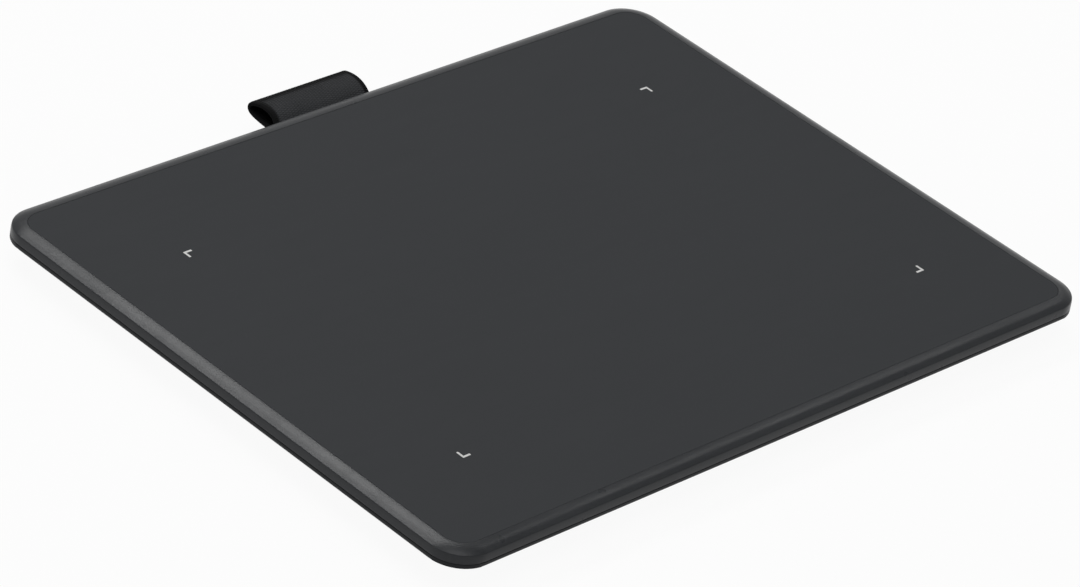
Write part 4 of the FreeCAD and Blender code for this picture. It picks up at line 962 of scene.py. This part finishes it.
def smooth_line(points, count):
    """Evenly spaced points on a smooth curve near the given ones."""
    steps = 24
    passes = 30
    dense = []
    padded = [points[0], *points, points[-1]]
    for number in range(1, len(padded) - 2):
        p0, p1, p2, p3 = (Vector(p) for p in padded[number - 1:number + 3])
        for step in range(steps):
            t = step / steps
            dense.append(0.5 * (2 * p1 + (p2 - p0) * t + (2 * p0 - 5 * p1 + 4 * p2 - p3) * t ** 2
                                + (3 * p1 - p0 - 3 * p2 + p3) * t ** 3))
    dense.append(Vector(points[-1]))
    for _ in range(passes):
        dense = [dense[0], *((dense[i - 1] + dense[i] * 2 + dense[i + 1]) / 4
                             for i in range(1, len(dense) - 1)), dense[-1]]
    marks = [0.0]
    for before, after in zip(dense, dense[1:]):
        marks.append(marks[-1] + (after - before).length)
    line = []
    place = 0
    for number in range(count):
        target = marks[-1] * number / (count - 1)
        while place < len(marks) - 2 and marks[place + 1] < target:
            place += 1
        share = (target - marks[place]) / (marks[place + 1] - marks[place])
        line.append(dense[place].lerp(dense[place + 1], min(share, 1.0)))
    return line, marks[-1]


def webbing_section(size):
    """The closed outline of the webbing across its width: x, depth and the pattern's place."""
    half = size.width / 2
    thick = size.thickness
    per_rib = 5
    selvage_steps = 8
    count = size.ribs * per_rib
    selvage = thick / 2
    outer = []
    for number in range(count + 1):
        share = number / count
        x = -half + selvage + (size.width - selvage * 2) * share
        rib = abs(math.sin(math.pi * size.ribs * share)) * size.rib_height
        outer.append((x, rib - size.rib_height, share))
    right = [(half - selvage + selvage * math.sin(turn), -selvage + selvage * math.cos(turn)
              - size.rib_height * math.cos(turn) ** 2, 1.0)
             for turn in (math.pi * k / selvage_steps for k in range(1, selvage_steps))]
    inner = [(x, -thick - depth, share) for x, depth, share in reversed(outer)]
    left = [(-x, depth, 0.0) for x, depth, _ in reversed(right)]
    return outer + right + inner + left


class TABLET_OT_pen_loop(Operator):
    """Weave the webbing of the pen loop, from the clamp round to the clamp again"""

    bl_idname = "tablet.pen_loop"
    bl_label = "Pen loop"

    def execute(self, context):
        size = context.scene.tablet_loop
        points = [(BACK_EDGE + reach * MM, level * MM) for reach, level in LOOP_OUTLINE]
        line, flat_length = smooth_line(points, size.samples)
        section = webbing_section(size)
        mesh = bmesh.new()
        uv = mesh.loops.layers.uv.new("weave")
        rings = []
        tip = max(range(len(line)), key=lambda number: line[number].x)
        crown = max(range(tip, len(line)), key=lambda number: line[number].y)
        mouth = max(number for number in range(tip, len(line)) if line[number].x > BACK_EDGE)
        bend_end = tip + (crown - tip) * BEND_END
        for number, point in enumerate(line):
            before = line[max(number - 1, 0)]
            after = line[min(number + 1, len(line) - 1)]
            way = (after - before).normalized()
            out = Vector((way.y, -way.x))
            # The drawing-in grows from the tip to the crown and fades over the last third
            turned = (number - tip) / (crown - tip)
            reach = (point.x - BACK_EDGE) / (line[tip].x - BACK_EDGE)
            share = min(max(min(turned, reach * 3), 0), 1)
            side = size.draw_in * share * share * (3 - 2 * share)
            narrow = 1 - side / size.width
            rings.append([mesh.verts.new((x * narrow + side / 2, *(point + out * depth)))
                          for x, depth, _ in section])
        step = flat_length / (size.samples - 1)
        total = len(section)
        for number in range(len(rings) - 1):
            for k in range(total):
                corners = (rings[number][k], rings[number][(k + 1) % total],
                           rings[number + 1][(k + 1) % total], rings[number + 1][k])
                face = mesh.faces.new(corners)
                share = (section[k][2], section[(k + 1) % total][2])
                for loop, (u, v) in zip(face.loops, ((share[0], number), (share[1], number),
                                                     (share[1], number + 1),
                                                     (share[0], number + 1))):
                    loop[uv].uv = (u * size.width, v * step)
        mesh.faces.new(rings[0])
        mesh.faces.new(list(reversed(rings[-1])))
        bmesh.ops.recalc_face_normals(mesh, faces=mesh.faces)
        data = bpy.data.meshes.new("pen_loop_webbing")
        mesh.to_mesh(data)
        mesh.free()
        strap = bpy.data.objects.new("pen_loop_webbing", data)
        bpy.context.collection.objects.link(strap)
        look = ribbed_webbing(context.scene.tablet_colour.webbing, size.width / size.ribs,
                              size.width, bend_end * step, mouth * step)
        finish_piece(strap, look, ["strap_tail", "pen_loop"], body=None,
                     angle=60)
        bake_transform(strap)
        return {"FINISHED"}


class TABLET_OT_socket(Operator):
    """Model the drawn metal shell of the cable socket"""

    bl_idname = "tablet.socket"
    bl_label = "Cable socket"

    def execute(self, context):
        size = context.scene.tablet_opening
        height = PORT_HIGH.z - PORT_LOW.z
        shell = add_block("socket_shell", PORT_LOW, PORT_HIGH)
        round_edges(shell, along((0, 1, 0)), height / 2 - FLAT, segments=12)
        pick(shell, "FACE", facing((0, 1, 0)))
        raise_inset(size.port_wall, 0)
        push((0, -(PORT_HIGH.y - PORT_LOW.y - size.port_wall), 0))
        round_edges(shell, facing((0, 1, 0), PORT_HIGH.y), size.port_round, segments=2,
                    kind="FACE")
        look = metal("plated_can", SLOT_COLOURS["bright_metal"], 0.24, (1.0, 0.12, 1.0))
        finish_piece(shell, look, ["usb_shell"])
        return {"FINISHED"}


class TABLET_OT_inner_finishes(Operator):
    """Give every carried-over piece of the frame its own finish"""

    bl_idname = "tablet.inner_finishes"
    bl_label = "Finishes of the inner pieces"

    def execute(self, context):
        tone = SLOT_COLOURS
        looks = {
            "adhesive_film": thin_film("adhesive_film", tone["adhesive_film"], 0.3),
            "circuit_board": circuit_board(tone["circuit_board"]),
            "steel_sheet": metal("rolled_steel", tone["steel_sheet"], 0.36, (0.05, 1, 1)),
            "insulating_film": thin_film("insulating_film", tone["insulating_film"], 0.4),
            "soft_foam": soft_foam(tone["soft_foam"]),
            "chip_resin": chip_resin(tone["chip_resin"]),
            "bright_metal": metal("drawn_can", tone["bright_metal"], 0.26, (1, 0.2, 1)),
            "ceramic": capped_ceramic(tone["ceramic"], "capacitors", 4),
            "socket_plastic": moulded_plastic("socket_plastic", tone["socket_plastic"], 0.38,
                                              0.00015, 0.006 * MM),
            "contact_metal": metal("plated_contacts", tone["contact_metal"], 0.22),
            "ribbon_film": thin_film("ribbon_film", tone["ribbon_film"], 0.35, 0.0009),
            "screw_steel": metal("blackened_steel", tone["screw_steel"], 0.38, size=0.0006),
        }
        for row in frame["record"]["subparts"]:
            node = frame["nodes"][row["node"]]
            if node.hide_render:
                continue
            node.data.materials.clear()
            node.data.materials.append(looks[row["material_slot"]])
        return {"FINISHED"}


class TABLET_OT_stage(Operator):
    """Set the floor, the soft light and the camera"""

    bl_idname = "tablet.stage"
    bl_label = "Stage"

    def execute(self, context):
        stage = context.scene.tablet_stage
        self.set_camera(context, stage)
        self.lay_floor(context)
        self.set_light(context, stage)
        context.scene.view_settings.view_transform = "Standard"
        return {"FINISHED"}

    def set_camera(self, context, stage):
        data = bpy.data.cameras.new("view")
        camera = bpy.data.objects.new("view", data)
        context.scene.collection.objects.link(camera)
        data.sensor_width = 36.0
        data.lens = stage.lens
        data.clip_start = 0.01
        data.clip_end = 20.0
        back = Vector((math.sin(stage.azimuth) * math.cos(stage.elevation),
                       -math.cos(stage.azimuth) * math.cos(stage.elevation),
                       math.sin(stage.elevation)))
        level = Vector((math.cos(stage.azimuth), math.sin(stage.azimuth), 0))
        upright = back.cross(level)
        right = level * math.cos(stage.roll) + upright * math.sin(stage.roll)
        turn = Matrix((right, back.cross(right), back)).transposed()
        spot = Vector(stage.aim) + back * stage.distance
        camera.matrix_world = Matrix.Translation(spot) @ turn.to_4x4()
        context.scene.camera = camera

    def lay_floor(self, context):
        only(None)
        bpy.ops.mesh.primitive_plane_add(size=FLOOR_SPAN, location=(0, 0, -FLOOR_DROP))
        floor = context.object
        floor.name = "floor"
        tone = context.scene.tablet_colour.floor
        paint = Finish("pale_floor", tone, 0.9)
        tree = paint.tree
        shadow = paint.add("BsdfDiffuse", {"Color": (*tone, 1)})
        glow = paint.add("Emission", {"Color": (1, 1, 1, 1), "Strength": 1.0})
        rays = paint.add("LightPath")
        seen = paint.math("MAXIMUM", rays.outputs["Is Camera Ray"],
                          rays.outputs["Is Glossy Ray"])
        seen = paint.math("MAXIMUM", seen, rays.outputs["Is Transmission Ray"])
        share = paint.math("MULTIPLY", seen, FLOOR_GLOW)
        mix = paint.add("MixShader", {0: share, 1: shadow.outputs[0], 2: glow.outputs[0]})
        under = paint.add("NewGeometry").outputs["Backfacing"]
        clear = paint.add("BsdfTransparent")
        mix = paint.add("MixShader", {0: under, 1: mix.outputs[0], 2: clear.outputs[0]})
        tree.links.new(mix.outputs[0], tree.nodes["Material Output"].inputs["Surface"])
        floor.data.materials.append(paint.material)

    def set_light(self, context, stage):
        world = bpy.data.worlds.new("studio")
        context.scene.world = world
        world.use_nodes = True
        tree = world.node_tree
        lit = tree.nodes["Background"]
        lit.inputs["Strength"].default_value = 1.0
        way = tree.nodes.new("ShaderNodeTexCoord").outputs["Generated"]
        parts = tree.nodes.new("ShaderNodeSeparateXYZ")
        ramp = tree.nodes.new("ShaderNodeValToRGB")
        for name in ("low_sky", "mid_sky"):
            ramp.color_ramp.elements.new(SKY_LEVELS[name])
        for stop, (name, height) in zip(ramp.color_ramp.elements, SKY_LEVELS.items()):
            level = getattr(stage, name)
            stop.position = height
            stop.color = (level, level, level, 1)
        tree.links.new(way, parts.inputs[0])
        tree.links.new(parts.outputs["Z"], ramp.inputs[0])
        tree.links.new(ramp.outputs[0], lit.inputs["Color"])
        for name, (size, direction) in LAMPS.items():
            self.hang_lamp(context, name, getattr(stage, name), size, direction)

    def hang_lamp(self, context, name, power, size, direction):
        """A flat lamp, with its width nearly along X, that faces the tablet."""
        data = bpy.data.lights.new(name, "AREA")
        data.shape = "RECTANGLE"
        data.size, data.size_y = size
        data.energy = power
        lamp = bpy.data.objects.new(name, data)
        context.scene.collection.objects.link(lamp)
        way = Vector(direction).normalized()
        up = way.cross(Vector((1, 0, 0))).normalized()
        turn = Matrix((up.cross(way), up, way)).transposed()
        lamp.matrix_world = Matrix.Translation(way * LAMP_DISTANCE) @ turn.to_4x4()


GROUPS = {
    "tablet_shell": ShellSizes,
    "tablet_opening": OpeningSizes,
    "tablet_foot": FootSizes,
    "tablet_loop": LoopSizes,
    "tablet_mark": MarkSizes,
    "tablet_colour": FinishColours,
    "tablet_stage": StageSettings,
}
STEPS = (
    TABLET_OT_stage,
    TABLET_OT_upper_shell,
    TABLET_OT_tray,
    TABLET_OT_feet,
    TABLET_OT_sheet,
    TABLET_OT_marks,
    TABLET_OT_pen_loop,
    TABLET_OT_socket,
    TABLET_OT_inner_finishes,
)


class TABLET_PT_pieces(Panel):
    """The steps of the tablet and the sizes that they read."""

    bl_idname = "TABLET_PT_pieces"
    bl_label = "Tablet"
    bl_space_type = "VIEW_3D"
    bl_region_type = "UI"
    bl_category = "Tablet"

    def draw(self, context):
        for step in STEPS:
            self.layout.operator(step.bl_idname)
        for name in GROUPS:
            box = self.layout.box()
            group = getattr(context.scene, name)
            for key in group.__annotations__:
                box.prop(group, key)


CLASSES = (*GROUPS.values(), *STEPS, TABLET_PT_pieces)


def register():
    for kind in CLASSES:
        bpy.utils.register_class(kind)
    for name, kind in GROUPS.items():
        setattr(bpy.types.Scene, name, PointerProperty(type=kind))


def unregister():
    for name in GROUPS:
        delattr(bpy.types.Scene, name)
    for kind in reversed(CLASSES):
        bpy.utils.unregister_class(kind)


def main():
    register()
    bpy.ops.tablet.stage()
    bpy.ops.tablet.upper_shell()
    bpy.ops.tablet.tray()
    bpy.ops.tablet.feet()
    bpy.ops.tablet.sheet()
    bpy.ops.tablet.marks()
    bpy.ops.tablet.pen_loop()
    bpy.ops.tablet.socket()
    bpy.ops.tablet.inner_finishes()


if __name__ == "__main__":
    main()
